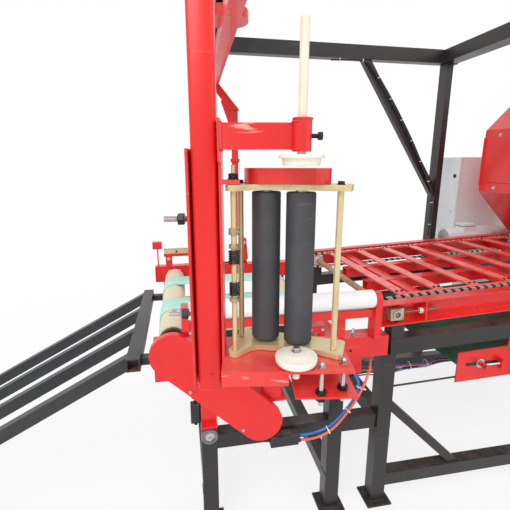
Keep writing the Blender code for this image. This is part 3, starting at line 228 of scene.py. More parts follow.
def finish(name, colour, shade=None, rough=0.4, spread=0.12, metal=0.0, cell=6.0, amount=0.5, scuff=0.0,
           scuff_tint=(200, 190, 180), dust_and_top_light=0.0, dust_and_top_light_tint=(205, 196, 184), grain=380.0, depth=0.00005,
           stretch=(1, 1, 1), coat=0.0):
    """A painted, plated or moulded surface: mottled colour, scratches, a dusting with painted top light on
    upward faces, and a fine relief.
    """
    material = bpy.data.materials.new(name)
    material.use_nodes = True
    tree = material.node_tree
    where = knot(tree, "TexCoord").outputs
    place = where["Object"]
    clouds = knot(tree, "Group", {"Vector": place, "Colour": tint(*colour), "Cell": cell, "Amount": amount,
            "Shade": tint(*(shade or [0.8 * c for c in colour]))}, node_tree=MOTTLE).outputs
    seen = clouds["Colour"]
    # The upward-facing mask lays its tint on the tops: partly a dusting, and where the tint is a lighter shade
    # of the paint, painted top light.
    for share, group, more, card in ((scuff, SCUFFS, {}, scuff_tint),
                                     (dust_and_top_light, DUST_AND_TOP_LIGHT, {"Normal": where["Normal"]}, dust_and_top_light_tint)):
        if share:
            mask = knot(tree, "Group", {"Vector": place, "Amount": share, **more},
                node_tree=group).outputs["Mask"]
            seen = knot(tree, "Mix", {0: mask, 6: seen, 7: tint(*card)}, data_type="RGBA").outputs[2]
    gloss = knot(tree, "MapRange", {0: clouds["Field"], "From Min": 0.3, "From Max": 0.7,
                                    "To Min": rough - spread / 2, "To Max": rough + spread / 2}).outputs[0]
    relief = knot(tree, "Group", {"Vector": place, "Stretch": stretch, "Cell": grain, "Depth": depth},
                  node_tree=RELIEF).outputs["Normal"]
    shader = tree.nodes["Principled BSDF"].inputs
    for socket, value in (("Base Color", seen), ("Roughness", gloss), ("Normal", relief)):
        tree.links.new(value, shader[socket])
    shader["Metallic"].default_value = metal
    shader["Coat Weight"].default_value = coat
    return material


def settle(name, mesh, material, body="frame", stands_for=()):
    """Links a finished mesh as a piece, with its finish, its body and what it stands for."""
    mesh.materials.clear()
    mesh.materials.append(material)
    thing = bpy.data.objects.new(name, mesh)
    scene.collection.objects.link(thing)
    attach(thing, body)
    if stands_for:
        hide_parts(*stands_for)
    return thing


def refinished(node, material):
    """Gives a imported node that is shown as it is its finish."""
    nodes[node].data.materials.clear()
    nodes[node].data.materials.append(material)


CREASE = math.radians(33)
LEVEL = math.radians(1)
LONG_EDGE, ROOM = 0.011, 2.4      # only edges this long, with this much flat beside them, are eased


def dressed(node, material, edge=0.0015):
    """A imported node's merged copy with its long edges eased by two facets, shown in the node's place."""
    work = bmesh.new()
    work.from_mesh(nodes[node].data)
    bmesh.ops.remove_doubles(work, verts=work.verts, dist=2e-6)
    bmesh.ops.dissolve_limit(work, angle_limit=math.radians(0.4), verts=work.verts, edges=work.edges)
    weight = work.edges.layers.float.new("bevel_weight_edge")
    for side in work.edges:
        side.smooth = side.is_manifold and side.calc_face_angle(0.0) < CREASE
        length = side.calc_length()
        if not side.smooth and length > LONG_EDGE:
            side[weight] = float(all(face.calc_area() > ROOM * edge * length for face in side.link_faces))
    for face in work.faces:
        face.smooth = any(LEVEL < side.calc_face_angle(0.0) < CREASE for side in face.edges)
    mesh = bpy.data.meshes.new(node)
    work.to_mesh(mesh)
    work.free()
    thing = settle(node + "_finish", mesh, material, nodes[node]["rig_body"], (node,))
    ease = thing.modifiers.new("eased edges", "BEVEL")
    ease.limit_method = "WEIGHT"
    ease.width = edge
    ease.segments = 2
    return thing


def skin(rows, tube=True, loop=False, lids=True):
    """Quads between neighbouring rows of points: a tube closes each row, a loop joins the last row to
    the first, and lids close the two end rows.  A shell is (points, quads, end outlines)."""
    rows = np.asarray(rows, float)
    index = np.arange(rows.shape[0] * rows.shape[1]).reshape(rows.shape[:2])
    grid = np.concatenate([index, index[:, :1]], 1) if tube else index
    grid = np.concatenate([grid, grid[:1]], 0) if loop else grid
    quads = np.stack([grid[:-1, :-1], grid[:-1, 1:], grid[1:, 1:], grid[1:, :-1]], -1).reshape(-1, 4)
    outlines = [index[0][::-1], index[-1]] if lids and not loop else []
    return rows.reshape(-1, 3), quads, outlines


def stack(*shells):
    """Several shells as one."""
    starts = np.cumsum([0] + [len(points) for points, _, _ in shells])
    return (np.concatenate([points for points, _, _ in shells]),
            np.concatenate([quads + start for (_, quads, _), start in zip(shells, starts)]),
            [outline + start for (_, _, lids), start in zip(shells, starts) for outline in lids])


def placed(shell, matrix):
    """A shell carried by a 4 by 4 matrix."""
    points, quads, outlines = shell
    return points @ matrix[:3, :3].T + matrix[:3, 3], quads, outlines


def turned(angle, origin):
    """The matrix of a turn about Z by an angle in degrees, then a move to the origin given."""
    cosine, sine = math.cos(math.radians(angle)), math.sin(math.radians(angle))
    matrix = np.eye(4)
    matrix[:2, :2] = [[cosine, -sine], [sine, cosine]]
    matrix[:3, 3] = origin
    return matrix


def axes(origin, z=(0, 0, 1), x=None):
    """The matrix that puts local Z along a direction and the origin at a point."""
    z = np.asarray(z, float) / np.linalg.norm(z)
    x = np.asarray(x if x is not None else ((1, 0, 0) if abs(z[0]) < 0.8 else (0, 1, 0)), float)
    x = x - z * (x @ z)
    x /= np.linalg.norm(x)
    matrix = np.eye(4)
    matrix[:3, :3] = np.stack([x, np.cross(z, x), z], 1)
    matrix[:3, 3] = origin
    return matrix


def lathe(profile, sides=40):
    """A profile of (radius, height) carried round local Z; its two ends are closed flat."""
    profile = np.asarray(profile, float)
    turn = np.linspace(0, 2 * math.pi, sides, endpoint=False)
    ring = np.stack([np.cos(turn), np.sin(turn), np.zeros(sides)], -1)
    return skin(profile[:, :1, None] * ring[None] + profile[:, 1:2, None] * np.array([0, 0, 1.0]))


def ring(profile, sides=40):
    """A closed profile of (radius, height) carried round local Z, as a tyre or sleeve."""
    points, quads, _ = lathe([*profile, profile[0]], sides)
    return skin(points.reshape(len(profile) + 1, sides, 3)[:-1], loop=True)


def sweep(path, radius, sides=12, loop=False, guide=(0, 0, 1)):
    """A round section carried along a path; the radius may change from point to point."""
    path = np.asarray(path, float)
    ahead = (np.roll(path, -1, 0) - np.roll(path, 1, 0)) if loop else np.gradient(path, axis=0)
    ahead /= np.linalg.norm(ahead, axis=1, keepdims=True)
    across = np.cross(ahead, guide)
    across /= np.linalg.norm(across, axis=1, keepdims=True)
    up = np.cross(across, ahead)
    turn = np.linspace(0, 2 * math.pi, sides, endpoint=False)
    reach = np.broadcast_to(radius, len(path))[:, None, None]
    section = np.cos(turn)[None, :, None] * across[:, None] + np.sin(turn)[None, :, None] * up[:, None]
    return skin(path[:, None] + reach * section, loop=loop)


def raised(*levels):
    """Rows of points: each flat outline lifted to its own height."""
    return [np.concatenate([line, np.full((len(line), 1), z)], 1) for line, z in levels]


def slab(outline, low, high, edge=0.001):
    """An outline in local XY carried from low to high in Z, its rims drawn in by a small chamfer."""
    outline = np.asarray(outline, float)
    run = np.roll(outline, -1, 0) - np.roll(outline, 1, 0)
    normal = np.stack([run[:, 1], -run[:, 0]], -1)
    normal /= np.linalg.norm(normal, axis=1, keepdims=True)
    following = np.roll(outline, -1, 0)
    if (outline[:, 0] * following[:, 1] - outline[:, 1] * following[:, 0]).sum() < 0:
        normal = -normal
    inner = outline - edge * normal
    return skin(raised((inner, low), (outline, low + edge), (outline, high - edge), (inner, high)))


def rounded(wide, tall, radius, steps=3, centre=(0, 0)):
    """A rectangle's outline with round corners, counter-clockwise."""
    radius = min(radius, 0.499 * min(wide, tall))
    turn = np.linspace(0, math.pi / 2, steps + 1)
    corners = [(wide / 2 - radius, tall / 2 - radius, 0), (-wide / 2 + radius, tall / 2 - radius, 1),
               (-wide / 2 + radius, -tall / 2 + radius, 2), (wide / 2 - radius, -tall / 2 + radius, 3)]
    arcs = [np.stack([x + radius * np.cos(turn + quarter * math.pi / 2),
                      y + radius * np.sin(turn + quarter * math.pi / 2)], -1) for x, y, quarter in corners]
    return np.concatenate(arcs) + centre


def block(low, high, edge=0.0015):
    """A box between two corners with its upright edges rounded and its rims chamfered."""
    low, high = np.array(low, float), np.array(high, float)
    size, middle = high - low, (low + high) / 2
    return slab(rounded(size[0], size[1], 2 * edge, 2, middle[:2]), low[2], high[2], edge)


def made(name, shells, material, body="frame", at=None, stands_for=(), crease=CREASE):
    """Turns shells, carried by a matrix if one is given, into one piece with creased shading."""
    points, quads, outlines = stack(*shells) if at is None else placed(stack(*shells), at)
    sizes = np.array([4] * len(quads) + [len(line) for line in outlines])
    loops = np.concatenate([quads.ravel(), *outlines]) if outlines else quads.ravel()
    mesh = bpy.data.meshes.new(name)
    mesh.vertices.add(len(points))
    mesh.vertices.foreach_set("co", points.astype(np.float32).ravel())
    mesh.loops.add(len(loops))
    mesh.loops.foreach_set("vertex_index", loops.astype(np.int32))
    mesh.polygons.add(len(sizes))
    mesh.polygons.foreach_set("loop_start", np.concatenate([[0], np.cumsum(sizes)[:-1]]).astype(np.int32))
    mesh.update(calc_edges=True)
    mesh.validate()
    work = bmesh.new()
    work.from_mesh(mesh)
    bmesh.ops.recalc_face_normals(work, faces=work.faces)
    work.to_mesh(mesh)
    work.free()
    mesh.polygons.foreach_set("use_smooth", np.ones(len(mesh.polygons), bool))
    mesh.set_sharp_from_angle(angle=crease)
    return settle(name, mesh, material, body, stands_for)


def run_of(path):
    """How far along a path each of its points lies."""
    return np.concatenate([[0], np.cumsum(np.linalg.norm(np.diff(path, axis=0), axis=1))])


def picked(path, here):
    """The points of a path that lie at the given distances along it."""
    along = run_of(path)
    return np.stack([np.interp(here, along, column) for column in path.T], -1)


def bead(path, radius=0.0022, step=0.0035, guide=(0, 0, 1)):
    """A weld bead along straight runs between points, its radius rippling once every step."""
    path = np.asarray(path, float)
    reach = run_of(path)[-1]
    here = np.linspace(0, reach, max(6, int(reach / step * 3)))
    line = picked(path, here)
    swell = radius * (0.86 + 0.14 * np.cos(2 * math.pi * here / step))
    swell[[0, -1]] *= 0.45
    return sweep(line, swell, 7, guide=guide)


def hexagon_bolt(at, towards, size=0.010, washer=True, shank=0.0, dome=False, height=0.65):
    """A hexagon head or nut on its washer, with an optional threaded end or domed cap."""
    parts, base = [], 0.0
    if washer:
        parts.append(lathe(
                [(0.98 * size, 0), (1.05 * size, 0.0004), (1.05 * size, 0.0014), (0.98 * size, 0.0018)], 24))
        base = 0.0018
    top = base + height * size
    across = 0.86 * size
    parts.append(lathe([(0.93 * across, base), (across, base + 0.05 * size), (across, top - 0.09 * size),
                        (0.86 * across, top)], 6))
    if dome:
        turn = np.linspace(0, 0.47 * math.pi, 7)
        cap = np.stack([0.74 * across * np.cos(turn), top - 0.0002 + 0.74 * across * np.sin(turn)], -1)
        parts.append(lathe([(0.74 * across, top - 0.0012), *cap], 20))
    elif shank:
        parts.append(lathe(thread(0.46 * size, top - 0.001, top + shank), 16))
    return placed(stack(*parts), axes(at, towards))


def thread(radius, start, end, pitch=0.0016):
    """The toothed profile of a screw thread, as rings of crests and roots."""
    count = max(2, int((end - start) / pitch))
    heights = np.linspace(start, end, 2 * count + 1)
    radii = np.where(np.arange(2 * count + 1) % 2 == 0, radius, 0.90 * radius)
    return np.stack([radii, heights], -1)


black_enamel = finish("black enamel", (36, 32, 32), (52, 47, 46), rough=0.36, amount=0.7,
    cell=5.0, scuff=0.35, scuff_tint=(120, 112, 106), dust_and_top_light=0.16, depth=0.00008, grain=260)
for stand in ("wrapper_stand", "conveyor_stand", "gantry_frame"):
    dressed(stand, black_enamel, 0.003)

LEG_LEFT, LEG_RIGHT, LEG_CONVEYOR, LEG_BALER, TUBE, FOOT_PLATE = -0.150, 0.356, 0.567, 1.930, 0.060, 0.008


def square_of_welds(middle, half, radius):
    """Four beads round a square tube."""
    corners = middle + half * np.array([(-1, -1, 0), (1, -1, 0), (1, 1, 0), (-1, 1, 0), (-1, -1, 0)])
    return [bead(corners[i:i + 2], radius) for i in range(4)]


stand_welds = []
for leg_x in (LEG_LEFT, LEG_RIGHT):
    for edge_x, top in ((leg_x - TUBE / 2, 0.176), (leg_x + TUBE / 2, 0.432)):
        stand_welds.append(
            bead(BASE + [(edge_x, -0.4815, top - 0.004), (edge_x, -0.4255, top - 0.004)], 0.0025))
for foot_x, foot_y in ((LEG_LEFT, -0.4525), (LEG_LEFT, 0.485), (LEG_RIGHT, -0.4525), (LEG_RIGHT, 0.485),
                       (LEG_CONVEYOR, -0.46), (LEG_CONVEYOR, 0.46), (LEG_BALER, -0.46), (LEG_BALER, 0.46)):
    stand_welds += square_of_welds(BASE + (foot_x, foot_y, FOOT_PLATE + 0.001), TUBE / 2 + 0.001, 0.003)
    stand_welds += [hexagon_bolt(BASE + (foot_x + 0.044 * sx, foot_y + 0.044 * sy, 0.0075), (0, 0, 1), 0.007)
                    for sx in (-1, 1) for sy in (-1, 1)]
made("stand_welds", stand_welds, black_enamel)

gantry_welds = []
for sign in (-1, 1):
    for post_x in (1.480, 1.520):
        gantry_welds.append(
            bead(BASE + [(post_x, sign * 0.612, 2.0585), (post_x, sign * 0.688, 2.0585)], 0.003))
made("gantry_welds", gantry_welds, black_enamel)


# ---------------------------------------------------------------- wrapping table
# A red box-section frame with a bearing for each roller.  The rollers are steel tubes in a
# cream plastic sleeve, rusty brown where the bare tube shows, and two mint green belts run
# round both of them.
# Its pale red upward tint is partly a dusting and partly painted top light, as on the guard's top.
red_enamel = finish("red enamel", (228, 30, 28), (206, 18, 20), rough=0.30, amount=0.6, cell=4.5,
    scuff=0.30, scuff_tint=(246, 150, 140), dust_and_top_light=0.16, dust_and_top_light_tint=(238, 150, 140), depth=0.00006, grain=210,
    coat=0.15)
steel = finish("bright zinc plate", (200, 200, 202), (160, 160, 164), rough=0.30, metal=1.0, cell=25,
    grain=500, depth=0.00003)
black_oxide = finish("oiled black steel", (46, 44, 46), (30, 29, 30), rough=0.38, metal=0.55,
    cell=30, depth=0.00005)
yellow_zinc = finish("yellow zinc plate", (224, 207, 166), (205, 180, 122), rough=0.34,
    metal=0.45, cell=9, amount=0.8, grain=420, depth=0.00003, scuff=0.3, scuff_tint=(240, 232, 206))
dressed("table_frame", red_enamel, 0.002)

BEAM_FACE, ROLLER_HEIGHT, ROLLER_HALF_GAP, ROLLER_RADIUS = -0.490, 0.795, 0.270, 0.054
NEAR_END, FAR_END = -0.400, 0.440
cream_sleeve = finish("cream sleeve", (226, 214, 190), (205, 190, 160), rough=0.42, amount=0.7,
    cell=8, scuff=0.4, scuff_tint=(245, 240, 228), depth=0.0001, grain=160)
brown_tube = finish("bare brown tube", (112, 84, 58), (70, 50, 36), rough=0.7, metal=0.2,
    cell=40, amount=0.9, depth=0.0002)
for side_name, side, near_tip in (("left", -1, -0.5095), ("right", 1, -0.465)):
    roller = "table_roller_" + side_name
    along = axes(BASE + (side * ROLLER_HALF_GAP, 0, ROLLER_HEIGHT), (0, 1, 0))
    sleeve = [(0.0485, NEAR_END + 0.004), (0.0500, NEAR_END + 0.014),
        (ROLLER_RADIUS - 0.0006, NEAR_END + 0.0145), (ROLLER_RADIUS, NEAR_END + 0.0155),
        (ROLLER_RADIUS, FAR_END - 0.001), (ROLLER_RADIUS - 0.001, FAR_END), (0.0485, FAR_END - 0.0002),
        (0.0485, FAR_END - 0.004)]
    made(roller + "_sleeve", [ring(sleeve, 56)], cream_sleeve, roller, at=along, stands_for=(roller,))
    bare = [(0.018, NEAR_END + 0.0065), (0.044, NEAR_END + 0.0065), (0.0445, NEAR_END), (0.0500, NEAR_END),
        (0.0504, NEAR_END + 0.0006), (0.0504, NEAR_END + 0.013), (0.0483, NEAR_END + 0.014),
        (0.0483, FAR_END - 0.0045), (0.0470, FAR_END - 0.001), (0.044, FAR_END - 0.001),
        (0.0435, FAR_END - 0.006), (0.018, FAR_END - 0.006)]
    made(roller + "_tube", [lathe(bare, 56)], brown_tube, roller, at=along)
    shaft = [(0.010, near_tip + 0.012), (0.0119, near_tip + 0.014), (0.0119, NEAR_END - 0.022),
        (0.0165, NEAR_END - 0.021), (0.0165, NEAR_END + 0.0068), (0.0165, FAR_END - 0.0062),
        (0.0165, FAR_END + 0.012), (0.0119, FAR_END + 0.013), (0.0119, 0.498), (0.0105, 0.500)]
    made(roller + "_shaft", [lathe(shaft, 28)], steel, roller, at=along)


def gear(radius, teeth, depth, thick, start):
    """A sprocket: a round outline whose radius rises and falls once a tooth, carried through its thickness."""
    turn = np.linspace(0, 2 * math.pi, teeth * 8, endpoint=False)
    reach = radius + depth * (0.5 * np.tanh(2.2 * np.cos(teeth * turn)) - 0.5)
    return slab(np.stack([reach * np.cos(turn), reach * np.sin(turn)], -1), start, start + thick, 0.0008)


made("table_roller_sprocket", [gear(0.0400, 15, 0.006, 0.0065, -0.5068)], black_oxide, "table_roller_left",
    at=axes(BASE + (-ROLLER_HALF_GAP, 0, ROLLER_HEIGHT), (0, 1, 0)))


def stadium(first, second, radius, steps=16):
    """The centre line of a loop round two equal circles, as points in a plane."""
    first, second = np.array(first, float), np.array(second, float)
    lean = math.atan2(*(second - first)[::-1])
    half = np.linspace(math.pi / 2, 3 * math.pi / 2, steps + 1)
    return np.concatenate([
        first + radius * np.stack([np.cos(lean + half), np.sin(lean + half)], -1),
        second + radius * np.stack([np.cos(lean + half + math.pi), np.sin(lean + half + math.pi)], -1)])


def upright(plane, depth=0.0):
    """Points of an XZ plane, as points in space at one depth."""
    plane = np.asarray(plane, float)
    return np.stack([plane[:, 0], np.full(len(plane), depth), plane[:, 1]], -1)


def ribbon(loop_path, section):
    """A closed flat path in XZ with a section of (outward, across) carried round it, as a belt."""
    path = np.asarray(loop_path, float)
    run = np.roll(path, -1, 0) - np.roll(path, 1, 0)
    outward = np.stack([run[:, 1], -run[:, 0]], -1)
    outward /= np.linalg.norm(outward, axis=1, keepdims=True)
    if ((path - path.mean(0)) * outward).sum() < 0:
        outward = -outward
    section = np.asarray(section, float)
    flat = path[:, None] + section[None, :, :1] * outward[:, None]
    rows = np.stack([flat[..., 0], np.broadcast_to(section[None, :, 1], flat.shape[:2]), flat[..., 1]], -1)
    return skin(rows, loop=True)


def build_belt_finish(name, colour, shade, thread_gap, depth, amount, rough):
    """Woven belt: two crossed waves give the cloth's relief under a mottled coating."""
    material = finish(name, colour, shade, rough=rough, amount=amount, cell=5.0, dust_and_top_light=0.30,
        dust_and_top_light_tint=(236, 244, 240))
    tree = material.node_tree
    place = knot(tree, "TexCoord").outputs["Object"]
    waves = [knot(tree, "TexWave", {"Vector": place, "Scale": 0.5 / thread_gap, "Distortion": 0.3},
            bands_direction=way).outputs[1] for way in ("X", "Y")]
    cloth = knot(tree, "Math", {0: waves[0], 1: waves[1]}, operation="MULTIPLY")
    bump = knot(tree, "Bump", {"Height": cloth.outputs[0], "Distance": depth, "Strength": 0.7})
    tree.links.new(bump.outputs[0], tree.nodes["Principled BSDF"].inputs["Normal"])
    return material


mint_belt = build_belt_finish("mint belt", (152, 222, 205), (206, 238, 230), 0.0022, 0.00025, 0.85,
    0.5)
BELT_WALL, BELT_WIDTH = 0.0028, 0.138
for belt_name, start in (("table_belt_near", -0.214), ("table_belt_far", 0.126)):
    middle_path = stadium((-ROLLER_HALF_GAP, ROLLER_HEIGHT), (ROLLER_HALF_GAP, ROLLER_HEIGHT),
                          ROLLER_RADIUS + 0.0009 + BELT_WALL / 2, 20)
    fine = []
    spans = np.linalg.norm(np.roll(middle_path, -1, 0) - middle_path, axis=1)
    for point, after, span in zip(middle_path, np.roll(middle_path, -1, 0), spans):
        steps = np.linspace(0, 1, max(1, int(span / 0.03)), endpoint=False)
        fine.append(point + (after - point) * steps[:, None])
    section = rounded(BELT_WALL, BELT_WIDTH, 0.0012, 2, (0, start + BELT_WIDTH / 2))
    belt = ribbon(np.concatenate(fine), section)
    made(belt_name + "_cloth", [(belt[0] + BASE, belt[1], belt[2])], mint_belt, stands_for=(belt_name,))

table_bolts = []
for dx, dz in ((-0.024, 0.766), (0.024, 0.766), (-0.024, 0.822), (0.024, 0.822)):
    table_bolts.append(hexagon_bolt(BASE + (ROLLER_HALF_GAP + dx, BEAM_FACE + 0.030, dz), (0, -1, 0), 0.007))
for dx, dz in ((-0.058, 0.716), (-0.012, 0.716)):
    spot = BASE + (ROLLER_HALF_GAP + 0.09 + dx, BEAM_FACE, dz + 0.02)
    table_bolts.append(hexagon_bolt(spot, (0, -1, 0), 0.0075))
table_bolts.append(hexagon_bolt(BASE + (0.420, BEAM_FACE + 0.032, 0.788), (0, 0, 1), 0.011, shank=0.016))
for far_x in (-0.27, 0.27):
    table_bolts += [hexagon_bolt(BASE + (far_x + dx, 0.455, 0.812 + dz), (0, -1, 0), 0.007)
                    for dx in (-0.03, 0.03) for dz in (-0.022, 0.022)]
made("table_bolts", table_bolts, steel)
table_welds = [bead(BASE + [(-0.182, -0.4925, 0.704), (-0.182, -0.4925, 0.786)], guide=(0, 1, 0)),
               bead(BASE + [(-0.284, -0.43, 0.7345), (-0.284, 0.45, 0.7345)], 0.002),
               bead(BASE + [(0.234, -0.4585, 0.7885), (0.306, -0.4585, 0.7885)], 0.002)]
made("table_welds", table_welds, red_enamel)


# ---------------------------------------------------------------- table drive
# A chain in a flat red guard joins the left roller to a gearmotor inside the table.  The
# motor is cast aluminium with cooling fins and a pressed fan cowl, sprayed light grey.
dressed("drive_guard", red_enamel, 0.003)
PINION = (0.046, 0.492)
GUARD_FRONT = BEAM_FACE - 0.0315
guard_lean = math.atan2(PINION[1] - ROLLER_HEIGHT, PINION[0] + ROLLER_HALF_GAP)


def in_guard(along, across):
    """A point of the guard's face, measured from the roller axis along its length and across it."""
    lead = np.array([math.cos(guard_lean), math.sin(guard_lean)])
    return np.array([-ROLLER_HALF_GAP, ROLLER_HEIGHT]) + along * lead + across * np.array([-lead[1], lead[0]])


guard_fixings = []
for reach, side in ((0.06, 1), (0.26, 1), (0.40, -1), (0.14, -1)):
    spot = in_guard(reach, side * 0.0655)
    guard_fixings.append(hexagon_bolt(BASE + (spot[0], GUARD_FRONT, spot[1]), (0, -1, 0), 0.006))
made("guard_screws", guard_fixings, steel)


def facing(outline, depth, thick, edge=0.0008):
    """A flat XZ outline as a plate that stands out by its thickness from a depth, towards the operator."""
    return placed(slab(np.asarray(outline, float), 0.0, thick, edge),
        axes(BASE + (0, depth, 0), (0, -1, 0), (1, 0, 0)))


strip = [in_guard(*spot) for spot in ((0.075, 0.0775), (0.115, 0.030), (0.385, 0.030), (0.415, 0.0775))]
lip = [in_guard(*spot) for spot in ((0.130, -0.0775), (0.150, -0.050), (0.400, -0.050), (0.420, -0.0775))]
made("guard_stiffeners",
    [facing(strip, GUARD_FRONT + 0.0006, 0.0022), facing(lip, GUARD_FRONT + 0.0006, 0.0022)], red_enamel)

machine_grey = finish("machine grey", (224, 229, 231), (204, 210, 213), rough=0.42, amount=0.5,
    cell=7, dust_and_top_light=0.25, depth=0.00008, grain=240)
dressed("table_gearmotor", machine_grey, 0.003)
# This steel is near white partly in its own right and partly as painted glint, so the chain rollers and
# sprockets show as light spots.
chain_steel_lit_for_glints = finish("chain steel lightened for painted glints", (226, 220, 214), (172, 160, 150), rough=0.36, metal=0.4,
    cell=90, amount=1.0)
chain_black = finish("oiled chain links", (52, 46, 44), (30, 27, 26), rough=0.42, metal=0.3,
    cell=90, amount=1.0)


def finned(radius, depth, fins, start, end):
    """A motor barrel: a round section whose radius steps in and out for its cooling fins, drawn along Z."""
    turn = np.linspace(0, 2 * math.pi, fins * 6, endpoint=False)
    reach = radius + depth * (1 / (1 + np.exp(-9 * (np.cos(fins * turn) - 0.3))) - 1)
    outline = np.stack([reach * np.cos(turn), reach * np.sin(turn)], -1)
    return slab(outline, start, end, 0.0015)


def grille(radius, start):
    """Concentric rings and spokes over a fan cowl's end."""
    hoops = [placed(ring([(r - 0.0012, 0), (r, 0.0012), (r + 0.0012, 0), (r, -0.0008)], 36),
            axes((0, 0, start))) for r in np.linspace(0.25 * radius, 0.86 * radius, 5)]
    spokes = [sweep(np.array([(0.1 * radius * math.cos(a), 0.1 * radius * math.sin(a), start),
                              (0.9 * radius * math.cos(a), 0.9 * radius * math.sin(a), start)]), 0.0012, 6)
              for a in np.linspace(0, 2 * math.pi, 8, endpoint=False)]
    return stack(*hoops, *spokes)


along = axes(BASE + (PINION[0], 0, PINION[1]), (0, 1, 0))
made("table_motor_fins", [finned(0.0555, 0.0035, 30, -0.378, -0.152)], machine_grey, at=along)
made("table_motor_grille", [grille(0.056, -0.0898)], black_oxide, at=along)


# ---------------------------------------------------------------- side guide roller
# A white plastic tube turns on a steel axle between a welded plate on the left and a round
# bearing flange on the right; it keeps the bale on the table.
dressed("side_roller_bracket", red_enamel, 0.0012)
SIDE_LEFT, SIDE_RIGHT, SIDE_HEIGHT, SIDE_RADIUS = -0.205, 0.477, 0.944, 0.034
white_tube = finish("white tube", (243, 243, 242), (228, 228, 228), rough=0.32, cell=5,
    amount=0.4, scuff=0.3, scuff_tint=(205, 205, 205), depth=0.00004)
along = axes(BASE + (0, BEAM_FACE, SIDE_HEIGHT), (1, 0, 0))
tube_profile = [(0.010, SIDE_LEFT + 0.004), (0.027, SIDE_LEFT + 0.004), (0.028, SIDE_LEFT), (0.0325, SIDE_LEFT),
    (SIDE_RADIUS, SIDE_LEFT + 0.002), (SIDE_RADIUS, SIDE_RIGHT - 0.002), (0.0325, SIDE_RIGHT),
    (0.010, SIDE_RIGHT)]
made("side_roller_tube", [lathe(tube_profile, 48)], white_tube, "side_roller", at=along,
    stands_for=("side_roller",))
axle = [lathe([(0.0078, SIDE_LEFT - 0.046), (0.0078, SIDE_LEFT + 0.0045), (0.0078, SIDE_RIGHT - 0.0005),
               (0.0078, SIDE_RIGHT + 0.017)], 24),
        lathe(thread(0.0078, SIDE_LEFT - 0.058, SIDE_LEFT - 0.043), 20),
        hexagon_bolt((0, 0, SIDE_LEFT - 0.032), (0, 0, -1), 0.0135, height=0.7)]
made("side_roller_axle", axle, steel, "side_roller", at=along)
bearing_screws = []
for sign_y, sign_z in ((1, 1), (-1, 1), (-1, -1), (1, -1)):
    spot = BASE + (SIDE_RIGHT + 0.0275, BEAM_FACE + sign_y * 0.0134350, SIDE_HEIGHT + sign_z * 0.0134350)
    bearing_screws.append(hexagon_bolt(spot, (1, 0, 0), 0.0045))
made("side_bearing_screws", bearing_screws, black_oxide)


# ---------------------------------------------------------------- film idler and switch
# A small grey wheel with a pale hub turns on a stub below the guard, and a black plastic
# limit switch is screwed to the left leg.
dressed("idler_bracket", red_enamel, 0.0012)
grey_tyre = finish("grey tyre", (112, 116, 122), (86, 90, 96), rough=0.55, cell=30, depth=0.0001)
pale_hub = finish("pale hub", (210, 208, 202), (186, 182, 174), rough=0.45, cell=30)
IDLER = BASE + (-0.150, -0.5045, 0.450)
along = axes(IDLER, (0, 1, 0))
made("idler_tyre", [ring([(0.0195, 0.0084), (0.0280, 0.0088), (0.0296, 0.0080), (0.0305, 0.0060),
                (0.0305, -0.0060), (0.0296, -0.0080), (0.0280, -0.0088), (0.0195, -0.0084)], 40)], grey_tyre,
    "idler_wheel", at=along, stands_for=("idler_wheel",))
made("idler_hub", [ring([(0.0062, -0.0105), (0.0115, -0.0105), (0.0125, -0.0095), (0.0130, -0.0035),
                (0.0193, -0.0030), (0.0193, 0.0030), (0.0130, 0.0035), (0.0125, 0.0095), (0.0115, 0.0105),
                (0.0062, 0.0105)], 32)], pale_hub, "idler_wheel", at=along)
made("idler_nut", [hexagon_bolt(IDLER + (0, -0.0125, 0), (0, -1, 0), 0.0085, dome=True)], steel)

black_plastic = finish("black plastic", (38, 38, 41), (52, 52, 56), rough=0.48, cell=40,
    depth=0.00012, grain=500, dust_and_top_light=0.3)
dressed("limit_switch", black_plastic, 0.002)
SWITCH = BASE + (-0.1985, -0.470, 0.5225)
made("switch_screws", [placed(lathe([(0.0028, 0), (0.0030, 0.0010), (0.0024, 0.0018)], 16),
            axes(SWITCH + (dx, 0, dz), (0, -1, 0))) for dx, dz in ((-0.012, 0.028), (0.012, -0.028))], steel)
made("switch_lid", [slab(rounded(0.030, 0.068, 0.003, 3), 0.0, 0.003, 0.001)], black_plastic,
    at=axes(SWITCH + (0, 0.0006, 0), (0, -1, 0), (1, 0, 0)))


# ---------------------------------------------------------------- film cutter
# On the rear beam a serrated blade of yellow zinc plated steel tilts up to cut the film, and
# a red clamp plate holds the cut end.
dressed("cutter_bracket", red_enamel, 0.0012)
dressed("cutter_carrier", red_enamel, 0.0012)
dressed("film_clamp", red_enamel, 0.0015)
refinished("saw_blade", yellow_zinc)
tooth_steel = finish("sharpened tooth steel", (84, 72, 56), (58, 48, 38), rough=0.55, metal=0.1,
    cell=90)
SAW_PITCH, SAW_TEETH, SAW_LEFT, SAW_ROOT = 0.0115, 24, -0.32600, 0.9560
tips = []
for tooth in range(SAW_TEETH):
    foot_x = SAW_LEFT + SAW_PITCH * tooth
    tip = np.array([(foot_x + 0.0026, SAW_ROOT), (foot_x + 0.0089, SAW_ROOT),
            (foot_x + 0.0067, SAW_ROOT + 0.0089), (foot_x + 0.0048, SAW_ROOT + 0.0089)])
    tips.append(placed(slab(tip, -0.0017, 0.0017, 0.0002), axes(BASE + (0, 0.4820, 0), (0, -1, 0), (1, 0, 0))))
made("saw_blade_tips", tips, tooth_steel, "cutter")
made("blade_bolts",
    [hexagon_bolt(BASE + (x, 0.4805, 0.943), (0, -1, 0), 0.0055) for x in (-0.255, -0.160, -0.085)],
    black_oxide, "cutter")
made("cutter_pivot_nuts", [hexagon_bolt(BASE + (-0.300, 0.4545, 0.905), (0, -1, 0), 0.0095),
        hexagon_bolt(BASE + (-0.362, 0.485, 0.8615), (0, 0, 1), 0.008),
        hexagon_bolt(BASE + (0.140, 0.4545, 0.985), (0, -1, 0), 0.0105)], steel)


